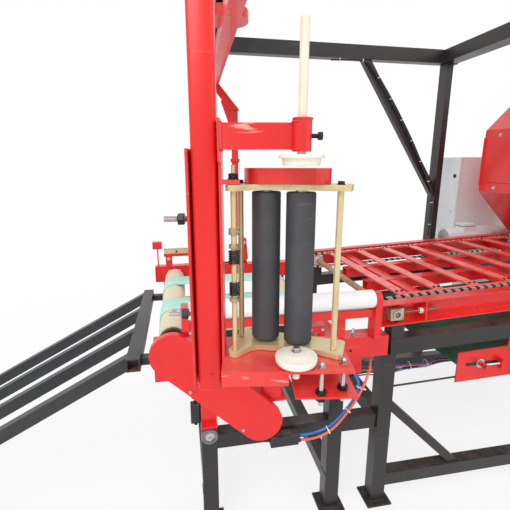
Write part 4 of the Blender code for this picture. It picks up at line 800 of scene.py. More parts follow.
# ---------------------------------------------------------------- discharge ramp
# Four square tubes slope from a cross tube at the table down to the floor, in dull charcoal
# paint; the cross tube's open end has rusted inside.
charcoal = finish("charcoal paint", (50, 52, 55), (36, 37, 40), rough=0.42, amount=0.8,
    cell=7, scuff=0.7, scuff_tint=(112, 104, 98), dust_and_top_light=0.35, dust_and_top_light_tint=(120, 116, 112), depth=0.0001, grain=200)
dressed("discharge_ramp", charcoal, 0.003)
rust = finish("rust", (126, 84, 58), (72, 52, 44), rough=0.85, amount=1.0, cell=55,
    depth=0.0004, grain=300)
RAMP_TOP = np.array([-0.414, 0.7275])
outer_wall, inner_wall = rounded(0.0412, 0.0412, 0.003, 3), rounded(0.0396, 0.0396, 0.0025, 3)
liner = raised((outer_wall, 0.0), (outer_wall, 0.0300), (inner_wall, 0.0300), (inner_wall, 0.0))
made("ramp_tube_rust", [skin(liner, loop=True)], rust,
    at=axes(BASE + (RAMP_TOP[0], -0.4335, RAMP_TOP[1]), (0, 1, 0), (1, 0, 0)))
ramp_welds = []
for i in range(4):
    rail_y = -0.434 + 0.060 + (0.378 + 0.434 - 0.085) * i / 3
    top_run = BASE + [(-0.4395, rail_y - 0.020, 0.7395), (-0.4395, rail_y + 0.020, 0.7395)]
    ramp_welds.append(bead(top_run, 0.0026))
    for weld_y in (rail_y - 0.0205, rail_y + 0.0205):
        upright_run = BASE + [(-0.4400, weld_y, 0.738), (-0.4400, weld_y, 0.704)]
        ramp_welds.append(bead(upright_run, 0.0024, guide=(0, 1, 0)))
made("ramp_welds", ramp_welds, charcoal)


# ---------------------------------------------------------------- slat conveyor
# Red steel slats ride on two roller chains between channel rails turned outwards.  The rails
# hold a take-up block and its threaded rod at the table end and a gearmotor at the other.
dressed("conveyor_frame", red_enamel, 0.0015)
# The pale red on the slats' tops is partly a dusting and partly painted top light.
slat_red = finish("worn slat red", (232, 62, 54), (240, 120, 108), rough=0.34, amount=0.85, cell=9,
    scuff=0.8, scuff_tint=(250, 205, 196), dust_and_top_light=0.5, dust_and_top_light_tint=(246, 196, 186), depth=0.00006, grain=210)
dressed("slat_mat", slat_red, 0.0012)
TILT = math.radians(2.66)
CONVEYOR = np.eye(4)
CONVEYOR[:3, :3] = [[math.cos(TILT), 0, -math.sin(TILT)], [0, 1, 0], [math.sin(TILT), 0, math.cos(TILT)]]
CONVEYOR[:3, 3] = BASE + (0.661, 0, 0.922)
TAIL, HEAD, SHAFT_DROP, CHAIN_SIDE = -0.076, 1.289, -0.050, 0.410
SLAT_PITCH, SLATS, RAIL_SIDE = 0.172, 8, 0.446

slat_bolts = [placed(hexagon_bolt((i * SLAT_PITCH + du, side * 0.368, 0.0), (0, 0, 1), 0.0058, height=0.55),
        CONVEYOR) for i in range(SLATS) for side in (-1, 1) for du in (-0.0115, 0.0115)]
made("slat_bolts", slat_bolts, black_oxide, "slat_mat")


def repeated(shell, centres, ahead, up):
    """Copies of one shell, its local X along each ahead vector and its local Z along each up vector."""
    points, quads, outlines = shell
    side = np.cross(up, ahead)
    copies = (centres[:, None] + points[None, :, :1] * ahead[:, None] + points[None, :, 1:2] * side[:, None]
              + points[None, :, 2:] * up[:, None])
    jumps = np.arange(len(centres)) * len(points)
    return (copies.reshape(-1, 3), (quads[None] + jumps[:, None, None]).reshape(-1, 4),
            [outline + jump for jump in jumps for outline in outlines])


def roller_chain(loop_points, pitch, reach, height):
    """Outer link pairs, and inner link pairs with rollers, set out evenly along a closed XZ loop."""
    closed = np.concatenate([loop_points, loop_points[:1]])
    around = run_of(closed)[-1]
    count = 2 * round(around / pitch / 2)
    pins = picked(closed, np.arange(count) * around / count)
    after = np.roll(pins, -1, 0)
    centres, heading = (pins + after) / 2, after - pins
    length = np.linalg.norm(heading, axis=1).mean()
    heading /= np.linalg.norm(heading, axis=1, keepdims=True)
    ahead, up = upright(heading), upright(np.stack([-heading[:, 1], heading[:, 0]], -1))
    turn = np.linspace(0, 2 * math.pi, 8, endpoint=False) + math.pi / 8
    lobe = np.stack([0.34 * length * np.cos(turn) + np.sign(np.cos(turn)) * 0.32 * length,
            height * np.sin(turn)], -1)
    across = axes((0, 0, 0), (0, 1, 0), (1, 0, 0))
    plates = []
    for offset in (reach, reach - 0.0018):
        pair = [slab(lobe, side * offset - 0.0007, side * offset + 0.0007, 0.0002) for side in (-1, 1)]
        plates.append(placed(stack(*pair), across))
    outer = repeated(plates[0], upright(centres[::2]), ahead[::2], up[::2])
    inner = repeated(plates[1], upright(centres[1::2]), ahead[1::2], up[1::2])
    barrel = placed(lathe([(0.0038, -reach - 0.0008), (0.0038, reach + 0.0008)], 8), across)
    rollers = repeated(barrel, upright(pins), ahead, up)
    return outer, stack(inner, rollers)


CHAIN_RADIUS = 0.0405
for chain_name, side in (("near", -1), ("far", 1)):
    course = stadium((TAIL, SHAFT_DROP), (HEAD, SHAFT_DROP), CHAIN_RADIUS, 24)
    outer, inner = roller_chain(course, 0.01905, 0.0062, 0.0066)
    lifted = np.eye(4)
    lifted[1, 3] = side * CHAIN_SIDE
    made("conveyor_chain_%s_links" % chain_name, [outer], chain_black, at=CONVEYOR @ lifted,
        stands_for=("conveyor_chain_" + chain_name,), crease=math.radians(25))
    # The rollers take the near-white steel: painted glints between the dark links.
    made("conveyor_chain_%s_rollers" % chain_name, [inner], chain_steel_lit_for_glints, at=CONVEYOR @ lifted,
        crease=math.radians(25))

rusty_shaft = finish("lightly rusted shaft", (186, 144, 112), (140, 96, 66), rough=0.5,
    metal=0.35, cell=28, amount=0.9, depth=0.00015)
for shaft_name, u, reach, shaft_finish, extra in (("tail_shaft", TAIL, 0.486, rusty_shaft, 0.0),
                                                  ("head_shaft", HEAD, 0.500, steel, 0.05)):
    along = CONVEYOR @ axes((u, 0, SHAFT_DROP), (0, 1, 0))
    bar_profile = [(0.0095, -reach), (0.011, -reach + 0.0015), (0.011, -0.381), (0.0145, -0.380),
        (0.0145, 0.380), (0.011, 0.381), (0.011, reach + extra - 0.0015), (0.0095, reach + extra)]
    made(shaft_name + "_bar", [lathe(bar_profile, 28)], shaft_finish, shaft_name, at=along,
        stands_for=(shaft_name,))
    sprockets = []
    for side in (-1, 1):
        y, hub = side * CHAIN_SIDE, side * (CHAIN_SIDE - 0.004)
        sprockets.append(gear(0.0341, 13, 0.005, 0.006, y - 0.003))
        sprockets.append(lathe([(0.019, hub - 0.010), (0.020, hub - 0.009), (0.020, hub + 0.009),
                                (0.019, hub + 0.010)], 28))
    made(shaft_name + "_sprockets", sprockets, chain_steel_lit_for_glints, shaft_name, at=along)

pale_zinc = finish("dull zinc block", (190, 178, 146), (132, 112, 84), rough=0.42, metal=0.5,
    cell=26, amount=0.9)
oiled_thread = finish("oiled thread", (140, 118, 96), (92, 74, 58), rough=0.4, metal=0.6, cell=60,
    depth=0.00003)
white_nylon = finish("white nylon nut", (238, 236, 228), (220, 216, 204), rough=0.45, cell=20)
for block_name, side in (("near", -1), ("far", 1)):
    dressed("takeup_block_" + block_name, pale_zinc, 0.0012)
    y = side * (RAIL_SIDE + 0.024)
    rod_axis = CONVEYOR @ axes((0, y, SHAFT_DROP), (1, 0, 0))
    nuts = [lathe([(0.0105, 0.0262), (0.0118, 0.0272), (0.0118, 0.0386), (0.0105, 0.0394)], 6),
        lathe([(0.0105, 0.0467), (0.0118, 0.0477), (0.0118, 0.0570), (0.0105, 0.0580)], 6),
        lathe([(0.0130, 0.0394), (0.0130, 0.0399)], 20)]
    made("takeup_nuts_" + block_name, nuts, white_nylon, at=rod_axis)
    made("takeup_thread_" + block_name, [lathe(thread(0.0056, TAIL + 0.029, 0.110, 0.002), 16)], oiled_thread,
        at=rod_axis)
    made("takeup_lock_" + block_name, [hexagon_bolt((TAIL + 0.004, y, -0.0850), (0, 0, 1), 0.0095, height=1.1)],
        black_oxide, at=CONVEYOR)
    made("takeup_collar_" + block_name, [ring([(0.0118, side * 0.0175), (0.0180, side * 0.0175),
                    (0.0176, side * 0.0215), (0.0118, side * 0.0215)], 32)], steel,
        at=CONVEYOR @ axes((TAIL, y, SHAFT_DROP), (0, 1, 0)))

made("conveyor_welds", [bead([(u, side * 0.4435, -0.0275), (u + 0.050, side * 0.4435, -0.0275)], 0.0022)
        for u in (0.080, 0.600, 1.130) for side in (-1, 1)], red_enamel, at=CONVEYOR)

dressed("conveyor_gearmotor", machine_grey, 0.004)
MOTOR_RISE = SHAFT_DROP + 0.035
barrel_axis = CONVEYOR @ axes((0, RAIL_SIDE + 0.110, MOTOR_RISE), (1, 0, 0))
made("conveyor_motor_fins", [finned(0.0615, 0.0035, 32, HEAD - 0.338, HEAD - 0.078)], machine_grey,
    at=barrel_axis)
cowl_end = CONVEYOR @ axes((HEAD - 0.4002, RAIL_SIDE + 0.114, MOTOR_RISE), (-1, 0, 0))
made("conveyor_motor_grille", [grille(0.060, 0.0)], black_oxide, at=cowl_end)
box_top = CONVEYOR @ axes((HEAD - 0.245, RAIL_SIDE + 0.105, MOTOR_RISE + 0.088), (0, 0, 1), (1, 0, 0))
made("conveyor_terminal_gasket", [slab(rounded(0.094, 0.094, 0.010, 4), -0.0155, -0.0120, 0.0004)],
    black_plastic, at=box_top)
made("conveyor_terminal_screws", [
        placed(lathe([(0.0035, 0), (0.0038, 0.001), (0.0030, 0.0024)], 16), box_top @ axes((dx, dy, 0.0)))
        for dx in (-0.036, 0.036) for dy in (-0.036, 0.036)], steel)


# ---------------------------------------------------------------- film return belt
# A dark green belt with a rough pimpled top runs under the conveyor between two red side
# plates that hang from the rails; a bolt at the front tightens it.
green_belt = finish("dark green belt", (26, 82, 58), (12, 56, 40), rough=0.75, amount=0.7,
    cell=24, dust_and_top_light=0.35, dust_and_top_light_tint=(120, 150, 136), depth=0.0011, grain=150)
tree = green_belt.node_tree
pimples = knot(tree, "TexVoronoi", {"Vector": knot(tree, "TexCoord").outputs["Object"], "Scale": 190.0})
height = knot(tree, "MapRange",
    {0: pimples.outputs["Distance"], "From Min": 0.1, "From Max": 0.55, "To Min": 1.0, "To Max": 0.0})
bump = knot(tree, "Bump", {"Height": height.outputs[0], "Distance": 0.0012, "Strength": 0.9})
tree.links.new(bump.outputs[0], tree.nodes["Principled BSDF"].inputs["Normal"])
dressed("return_belt", green_belt, 0.002)
dressed("return_belt_frame", red_enamel, 0.0012)
# The take-up slot is not cut in the plate: this thin black sheet is painted shade where the slot's opening
# would be.
made("return_belt_slot_shade", [slab(stadium((0.0, 0.0), (0.145, 0.0), 0.0085, 10), 0.0, 0.0007, 0.0002)],
    black_plastic, at=axes(BASE + (0.985, -0.4265, 0.582), (0, -1, 0), (1, 0, 0)))
made("return_belt_bolts",
    [hexagon_bolt(BASE + (x, -0.4266, z), (0, -1, 0), 0.009) for x, z in ((1.400, 0.635), (1.400, 0.560))]
    + [placed(lathe(thread(0.0046, 1.0595, 1.1340), 14), axes(BASE + (0, -0.440, 0.580), (1, 0, 0)))], steel)
made("return_belt_jam_nut", [hexagon_bolt(BASE + (1.1455, -0.440, 0.580), (1, 0, 0), 0.0085)], black_oxide)
made("return_belt_washer",
    [ring([(0.0098, -0.4275), (0.0215, -0.4275), (0.0215, -0.4300), (0.0200, -0.4310), (0.0098, -0.4310)], 32)],
    steel, at=axes(BASE + (1.050, 0, 0.582), (0, 1, 0)))
made("return_belt_axle", [lathe(
            [(0.0088, -0.4712), (0.0096, -0.4700), (0.0096, -0.4560), (0.0112, -0.4550), (0.0112, -0.4305)],
            24)], red_enamel, at=axes(BASE + (1.050, 0, 0.582), (0, 1, 0)))
# A thin black rod stays the belt frame to the conveyor leg.
made("return_belt_stay",
    [sweep(BASE + [(0.600, -0.4235, 0.5155), (0.934, -0.4235, 0.5265)], 0.0042, 12, guide=(0, 1, 0))],
    black_enamel)


# ---------------------------------------------------------------- baler front and control cabinet
# The baler's eight-sided chamber of folded red sheet stands on two posts.  Beside it is a
# light grey electrical cabinet, its door shut on a black rubber seal.
# Its pale red upward tint is partly a dusting and partly painted top light.
baler_red = finish("baler red", (226, 34, 30), (238, 72, 62), rough=0.30, amount=0.8, cell=2.2,
    dust_and_top_light=0.2, dust_and_top_light_tint=(244, 170, 160), depth=0.00006, grain=180, coat=0.2)
dressed("bale_chamber", baler_red, 0.004)
CHAMBER = np.array([2.100, 1.456])
flange_angles = np.arange(8) * math.pi / 4 + math.pi / 8
rim_out, rim_in = 0.4450 / math.cos(math.pi / 8), 0.4205 / math.cos(math.pi / 8)
corners = np.stack([np.cos(flange_angles), np.sin(flange_angles)], -1)
rim = [upright(CHAMBER + reach * corners, y) for reach, y in (
    (rim_out - 0.002, -0.4205), (rim_out - 0.004, -0.4290),
    (rim_in + 0.004, -0.4290), (rim_in + 0.002, -0.4205))]
made("chamber_rim", [skin(rim, loop=True)], baler_red, at=axes(BASE), crease=math.radians(20))
bolt_circle = 0.4325 / math.cos(math.pi / 8) * 0.985
chamber_bolts = [hexagon_bolt(BASE + spot, (0, -1, 0), 0.009)
                 for spot in upright(CHAMBER + bolt_circle * corners, -0.429)]
left_face = CHAMBER[0] - 0.445
for y in (-0.30, -0.10, 0.10, 0.30):
    for z in (CHAMBER[1] + 0.150, CHAMBER[1] - 0.160):
        chamber_bolts.append(hexagon_bolt(BASE + (left_face, y, z), (-1, 0, 0), 0.010))
made("chamber_bolts", chamber_bolts, steel)
made("chamber_ribs", [block((left_face - 0.012, y - 0.003, CHAMBER[1] - 0.150),
            (left_face + 0.002, y + 0.003, CHAMBER[1] + 0.140), 0.001) for y in (-0.4135, 0.4135)], baler_red,
    at=axes(BASE))

dressed("control_cabinet", machine_grey, 0.004)
dressed("cabinet_door", machine_grey, 0.004)
seal_rubber = finish("black seal", (32, 32, 34), (24, 24, 26), rough=0.7, cell=40)
DOOR_FACE, DOOR_NEAR, DOOR_LOW, DOOR_WIDE, DOOR_TALL = 1.745, 0.700, 0.727, 0.320, 0.760
outer = rounded(DOOR_WIDE - 0.008, DOOR_TALL - 0.008, 0.006, 3)
inner = rounded(DOOR_WIDE - 0.018, DOOR_TALL - 0.018, 0.004, 3)
levels = raised((outer, 0.0), (outer, 0.0016), (inner, 0.0016), (inner, 0.0))
made("cabinet_seal", [skin(levels, loop=True)], seal_rubber, "cabinet_door",
    at=axes(BASE + (DOOR_FACE - 0.0012, DOOR_NEAR + DOOR_WIDE / 2, DOOR_LOW + DOOR_TALL / 2), (-1, 0, 0),
        (0, 1, 0)))
lock = stack(lathe([(0.0125, 0), (0.0135, 0.001), (0.0135, 0.004), (0.0120, 0.006), (0.0060, 0.0062)], 32),
             block((-0.0035, -0.009, 0.0060), (0.0035, 0.009, 0.0085), 0.0006))
lock_spots = [BASE + (DOOR_FACE - 0.0225, DOOR_NEAR + 0.040, DOOR_LOW + z) for z in (0.130, 0.630)]
made("cabinet_locks", [placed(lock, axes(spot, (-1, 0, 0), (0, 1, 0))) for spot in lock_spots], black_oxide,
    "cabinet_door")
made("cabinet_hinges", [
        lathe([(0.0050, z - 0.030), (0.0056, z - 0.029), (0.0056, z + 0.029), (0.0050, z + 0.030)], 20)
        for z in (0.110, 0.650)], black_oxide, "cabinet_door",
    at=axes(BASE + (DOOR_FACE - 0.0225, DOOR_NEAR + DOOR_WIDE + 0.0062, DOOR_LOW), (0, 0, 1)))
vents = [block((x - 0.035, -0.0016, z - 0.0025), (x + 0.035, 0.0010, z + 0.0025), 0.0008)
         for x in (2.06, 2.24) for z in np.arange(0.95, 1.20, 0.018)]
made("casing_louvres", vents, machine_grey, at=axes(BASE + (0, 0.704, 0)))


# ---------------------------------------------------------------- rotor beam and columns
# A red beam turns under the gantry and ends in two slanted shoulders.  One carries the
# wrapping column, a round-cornered square tube; the other an idle column as a counterweight.
ARM_TURN = -9.53
ROTOR = turned(ARM_TURN, BASE)
ARM, COLUMN_HALF, COLUMN_TOP = 1.0505, 0.023, 1.800
dressed("rotor_arm", red_enamel, 0.003)
dressed("idle_column", red_enamel, 0.0045)
column_red = finish("column red", (232, 34, 30), (214, 22, 22), rough=0.34, spread=0.08,
    amount=0.6, cell=3.0, scuff=0.35, scuff_tint=(250, 170, 160), dust_and_top_light=0.1, depth=0.00005, grain=140)
dressed("wrap_column", column_red, 0.0012)

rotor_welds = []
for side in (-1, 1):
    rotor_welds += square_of_welds(np.array([0, side * ARM, COLUMN_TOP + 0.001]), COLUMN_HALF + 0.0012, 0.0028)
made("rotor_welds", rotor_welds, column_red, "rotor", at=ROTOR)

# A band clamps the idle column above the gusset that stiffens its shoulder.
half = COLUMN_HALF + 0.0015
band_low, band_high = 1.636, 1.654
band = raised(*[(rounded(2 * reach, 2 * reach, 0.004, 3, (0, ARM)), z) for reach, z in (
    (half - 0.001, band_low), (half + 0.003, band_low + 0.001),
    (half + 0.003, band_high - 0.001), (half - 0.001, band_high))])
made("idle_column_band", [skin(band)], red_enamel, "rotor", at=ROTOR)
gusset = [(-0.0235, 1.660), (-0.0235, 1.795), (-0.085, 1.868), (-0.095, 1.862)]
made("idle_column_gusset", [slab(gusset, -0.0035, 0.0035, 0.0008)], red_enamel, "rotor",
    at=ROTOR @ axes((0, ARM, 0), (0, -1, 0), (1, 0, 0)))
made("column_screw", [hexagon_bolt((0.004, -ARM - COLUMN_HALF, 1.024), (0, -1, 0), 0.0042, washer=False)],
    column_red, "rotor", at=ROTOR)

dressed("rotor_gearmotor", machine_grey, 0.004)
barrel_axis = axes(BASE + (0, 0, 2.211), (1, 0, 0))
made("rotor_motor_fins", [finned(0.0615, 0.0035, 32, 0.088, 0.298)], machine_grey, at=barrel_axis)
made("rotor_motor_grille", [grille(0.060, 0.3602)], black_oxide, at=barrel_axis)
made("rotor_gearbox_bolts", [hexagon_bolt(BASE + (dx, -0.090, 2.205 + dz), (0, -1, 0), 0.009)
        for dx in (-0.066, 0.066) for dz in (-0.045, 0.045)], steel)


# ---------------------------------------------------------------- film carriage
# A red channel is bolted round the foot of the wrapping column.  Its shelf carries the lower
# film cone and a swinging cage; its top arm ends in a sleeve for the film rod.
# Its pale red upward tint is partly a dusting and partly painted top light.
carriage_red = finish("carriage red", (224, 32, 30), (240, 84, 76), rough=0.32, amount=0.55,
    cell=6, scuff=0.75, scuff_tint=(250, 176, 166), dust_and_top_light=0.28, dust_and_top_light_tint=(244, 160, 150), depth=0.00007,
    grain=180, coat=0.12)
dressed("carriage_frame", carriage_red, 0.0010)
FLANGE_OUT, FILM_AT, PIVOT_AT = 0.0315, np.array([0.168, -1.109]), np.array([0.052, -1.069])
carriage_steel, carriage_dark = [], []
for height, shank, nut in ((1.337, 0.0056, 0.0118), (1.148, 0.0048, 0.0105)):
    left = axes((-FLANGE_OUT, -ARM, height), (-1, 0, 0))
    carriage_steel.append(placed(lathe(thread(shank, 0.0001, 0.0468, 0.0022), 18), left))
    carriage_dark.append(placed(lathe([(0.006, 0.0088), (nut - 0.0008, 0.0088), (nut, 0.0096), (nut, 0.0198),
                    (nut - 0.0008, 0.0208), (0.006, 0.0208)], 6), left))
made("carriage_steel_bolts", carriage_steel, steel, "rotor", at=ROTOR)
made("carriage_dark_nuts", carriage_dark, black_oxide, "rotor", at=ROTOR)
made("sleeve_rim", [ring(
            [(0.0098, 0), (0.0168, 0), (0.0172, 0.0008), (0.0172, 0.0026), (0.0168, 0.0034), (0.0098, 0.0034)],
            32)], carriage_red, "rotor", at=ROTOR @ axes((*FILM_AT, 1.5072)))
arm_welds = []
for z in (1.4605, 1.5045):
    arm_welds.append(bead([(0.033, -1.101, z), (0.033, -1.059, z)], 0.0024))
for y in (-1.1035, -1.0565):
    arm_welds.append(bead([(0.033, y, 1.462), (0.033, y, 1.503)], 0.0024, guide=(0, 1, 0)))
arc_turn = np.linspace(math.radians(120), math.radians(240), 12)
for z in (1.4605, 1.5045):
    arc = FILM_AT + 0.0168 * np.stack([np.cos(arc_turn), np.sin(arc_turn)], -1)
    arm_welds.append(bead(raised((arc, z))[0], 0.0018))
arm_welds.append(bead([(-0.0275, -1.0805, 1.0300), (-0.0275, -1.0805, 1.4600)], 0.0010, guide=(0, 1, 0)))
made("carriage_welds", arm_welds, carriage_red, "rotor", at=ROTOR)

# The cage swings on this long rod, which two collars and a nut hold.  Two coil springs on it
# pull the cage's rollers against the film.
made("pivot_rod_bar", [stack(lathe([(0.0048, 1.0362), (0.0054, 1.0370), (0.0054, 1.4100), (0.0036, 1.4105),
                    (0.0036, 1.4352), (0.0030, 1.4358)], 24),
            lathe([(0.0084, 1.0345), (0.0093, 1.0353), (0.0093, 1.0440), (0.0084, 1.0450)], 6))], yellow_zinc,
    "rotor", at=ROTOR @ axes((*PIVOT_AT, 0)), stands_for=("pivot_rod",))
collars = [ring([(0.0056, z), (0.0092, z), (0.0096, z + 0.0006), (0.0096, z + h - 0.0006), (0.0092, z + h),
                 (0.0056, z + h)], 28) for z, h in ((1.1805, 0.0075), (1.2845, 0.0075), (1.3100, 0.0120))]
made("pivot_collars", collars, pale_zinc, "rotor", at=ROTOR @ axes((*PIVOT_AT, 0)))
made("pivot_collar_screws",
    [hexagon_bolt((*(PIVOT_AT + (0.0072, -0.0062)), 1.3160), (1, -1, 0), 0.0036, washer=False, shank=0.006)],
    steel, "rotor", at=ROTOR)
made("pivot_top_nuts", [hexagon_bolt((*PIVOT_AT, 1.4102), (0, 0, 1), 0.0100, height=0.9)], black_oxide, "rotor",
    at=ROTOR)
spring_steel = finish("black spring steel", (44, 42, 44), (66, 60, 58), rough=0.36, metal=0.6,
    cell=80, depth=0.00003)
for spring, bottom, tall, turns in (("spring_lower", 1.1900, 0.0300, 6), ("spring_upper", 1.2520, 0.0300, 6)):
    turn = np.linspace(0, 2 * math.pi * turns, 22 * turns)
    climb = bottom + 0.0015 + (tall - 0.003) * turn / turn[-1]
    radius = 0.0095 - 0.0008 * (spring == "spring_lower")
    coil = np.stack([PIVOT_AT[0] + radius * np.cos(turn), PIVOT_AT[1] + radius * np.sin(turn), climb], -1)
    made(spring + "_coil", [sweep(coil, 0.0016, 8)], spring_steel, "rotor", at=ROTOR, stands_for=(spring,))

# Under the shelf a bent red plate hangs on two long studs with nylon-capped nuts.
dressed("stud_plate", carriage_red, 0.0008)
stud_parts, stud_caps = [], []
for t, n in ((0.215, 1.122), (0.260, 1.106)):
    stud_parts.append(placed(lathe(thread(0.0044, 0.9882, 1.0660, 0.0018), 18), axes((t, -n, 0))))
    stud_parts.append(placed(hexagon_bolt((0, 0, 1.0672), (0, 0, 1), 0.0080, dome=True), axes((t, -n, 0))))
    for foot in (0.9990, 1.0122):
        stud_caps.append(placed(lathe([(0.0040, foot), (0.0100, foot), (0.0108, foot + 0.0008),
                        (0.0108, foot + 0.0078), (0.0100, foot + 0.0086), (0.0040, foot + 0.0086)], 6),
                axes((t, -n, 0))))
made("stud_bars", stud_parts, steel, "rotor", at=ROTOR)
made("stud_nuts", stud_caps, black_oxide, "rotor", at=ROTOR)


# ---------------------------------------------------------------- film holder
# The film roll sits between two turned cones of cream nylon.  The upper one runs on a nylon
# rod that slides in the sleeve and is clamped by a cross bolt.
nylon = finish("cream nylon", (246, 241, 228), (232, 224, 204), rough=0.40, amount=0.5, cell=14,
    scuff=0.35, scuff_tint=(214, 202, 180), dust_and_top_light=0.15, depth=0.00004, grain=300)
film_axis = ROTOR @ axes((*FILM_AT, 0))
turn = np.linspace(0, math.pi / 2, 6)
made("lower_cone_disc", [lathe([(0.0078, 1.0402), (0.0078, 1.0706), (0.0340, 1.0709), (0.0368, 1.0722),
                (0.0388, 1.0750), (0.0398, 1.0790), (0.0399, 1.0838),
                *np.stack([0.0378 + 0.0018 * np.cos(turn), 1.0848 + 0.0018 * np.sin(turn)], -1),
                (0.0330, 1.0876), (0.0230, 1.0936), (0.0205, 1.0944), (0.0130, 1.0945)], 64)], nylon,
    "lower_cone", at=film_axis, stands_for=("lower_cone",))
made("lower_cone_bolt", [hexagon_bolt((*FILM_AT, 1.0945), (0, 0, 1), 0.0090, height=0.75)], steel, "lower_cone",
    at=ROTOR)
made("upper_cone_disc", [ring([(0.0078, 1.4520), (0.0376, 1.4520), (0.0386, 1.4514), (0.0389, 1.4504),
                (0.0389, 1.4474), (0.0384, 1.4464), (0.0338, 1.4460), (0.0328, 1.4452), (0.0318, 1.4368),
                (0.0308, 1.4344), (0.0078, 1.4342)], 64)], nylon, "upper_cone", at=film_axis,
    stands_for=("upper_cone",))
rod_nylon = finish("cream rod", (240, 230, 210), (226, 210, 182), rough=0.36, amount=0.7, cell=30,
    depth=0.00003, stretch=(1, 1, 0.08), grain=260, scuff=0.3, scuff_tint=(206, 188, 160))
made("film_rod_bar",
    [lathe([(0.0068, 1.4332), (0.0074, 1.4338), (0.0074, 1.6580), (0.0066, 1.6598), (0.0040, 1.6600)], 40)],
    rod_nylon, "film_rod", at=film_axis, stands_for=("film_rod",))
made("clamp_bolt_screw", [stack(lathe(thread(0.0039, 0.0081, 0.0275, 0.0014), 16),
            lathe([(0.0066, 0.0262), (0.0074, 0.0268), (0.0074, 0.0332), (0.0062, 0.0340)], 6))], black_oxide,
    "clamp_bolt", at=ROTOR @ axes((*FILM_AT, 1.482), (1, 0, 0)), stands_for=("clamp_bolt",))


# ---------------------------------------------------------------- film stretching cage
# Two yellow zinc plates, two posts and two rubber-covered rollers swing as one.  Gears under
# a red cover make the second roller turn faster, which stretches the film between them.
CAGE_TURN = -18
CAGE = ROTOR @ turned(CAGE_TURN, (*PIVOT_AT, 0))
dressed("cage_bottom_plate", yellow_zinc, 0.0010)
dressed("cage_top_plate", yellow_zinc, 0.0010)
CAGE_LOW, CAGE_HIGH, PLATE = 1.068, 1.390, 0.011
SLOW, FAST, STRETCH, POSTS = 0.043, 0.1115, 0.070, ((-0.0085, 0.0645), (0.1855, 0.0575))
for post, (a, b) in zip(("left", "right"), POSTS):
    at = CAGE @ axes((a, b, 0))
    made("cage_post_%s_bar" % post, [lathe([(0.0054, CAGE_LOW + PLATE + 0.0005),
                    (0.0060, CAGE_LOW + PLATE + 0.0011), (0.0060, CAGE_HIGH - 0.0011),
                    (0.0054, CAGE_HIGH - 0.0005)], 28)], yellow_zinc, "cage", at=at,
        stands_for=("cage_post_" + post,))
cage_bolts = [hexagon_bolt((a, b, CAGE_HIGH + PLATE), (0, 0, 1), 0.0072) for a, b in POSTS]
cage_bolts += [hexagon_bolt((a, b, CAGE_LOW), (0, 0, -1), 0.0072, height=0.5)
               for a, b in ((SLOW, STRETCH), (FAST, STRETCH), POSTS[1])]
made("cage_post_bolts", cage_bolts, black_oxide, "cage", at=CAGE)
dressed("gear_cover", baler_red, 0.0012)

sleeve_rubber = finish("ribbed sleeve rubber", (74, 74, 78), (60, 60, 64), rough=0.62, spread=0.10,
    amount=0.8, cell=12, scuff=0.35, scuff_tint=(128, 122, 114), dust_and_top_light=0.3, dust_and_top_light_tint=(120, 118, 112),
    depth=0.00012, grain=420)
ROLLER = 0.0285
heights = np.arange(1.0880, 1.3815, 0.0009)
ribs = np.stack([ROLLER - 0.0004 * (np.arange(len(heights)) % 2), heights], -1)
rubber_profile = [(0.0200, 1.0842), (0.0262, 1.0842), (0.0276, 1.0850), (0.0283, 1.0868), *ribs,
    (0.0283, 1.3826), (0.0276, 1.3848), (0.0262, 1.3858), (0.0200, 1.3858)]
shaft_profile = [(0.0050, 1.0700), (0.0057, 1.0706), (0.0057, 1.0790), (0.0110, 1.0796), (0.0110, 1.3886),
    (0.0057, 1.3890), (0.0057, 1.4150)]
for speed, a in (("slow", SLOW), ("fast", FAST)):
    at = CAGE @ axes((a, STRETCH, 0))
    made("stretch_roller_%s_rubber" % speed, [lathe(rubber_profile, 44)], sleeve_rubber, speed + "_roller",
        at=at, stands_for=("stretch_roller_" + speed,))
    made("stretch_roller_%s_shaft" % speed, [lathe(shaft_profile, 24)], steel, speed + "_roller", at=at)
spread = FAST - SLOW
for speed, a, pitch_radius, teeth in (("slow", SLOW, spread * 1.15 / 2.15, 46),
                                      ("fast", FAST, spread / 2.15, 40)):
    made("stretch_gear_" + speed, [gear(pitch_radius - 0.0006, teeth, 0.0016, 0.0080, 1.4070)], black_oxide,
        speed + "_roller", at=CAGE @ axes((a, STRETCH, 0)))


# ---------------------------------------------------------------- air hoses and wiring
# Two air hoses, blue and orange, hang from glands under the near beam down to a valve block
# on the lower rail, tied together with white cable ties.
def rounded_route(points, count):
    """A smooth curve through a hose's or a wire's chosen points, sampled at even steps."""
    points = np.asarray(points, float)
    padded = np.concatenate([2 * points[:1] - points[1:2], points, 2 * points[-1:] - points[-2:-1]])
    p0, p1, p2, p3 = (padded[i:len(padded) - 3 + i][:, None] for i in range(4))
    t = np.linspace(0, 1, 24, endpoint=False)[None, :, None]
    curve = 0.5 * (2 * p1 + (p2 - p0) * t + (2 * p0 - 5 * p1 + 4 * p2 - p3) * t ** 2
        + (3 * p1 - p0 - 3 * p2 + p3) * t ** 3)
    curve = np.concatenate([curve.reshape(-1, 3), points[-1:]])
    return picked(curve, np.linspace(0, run_of(curve)[-1], count))


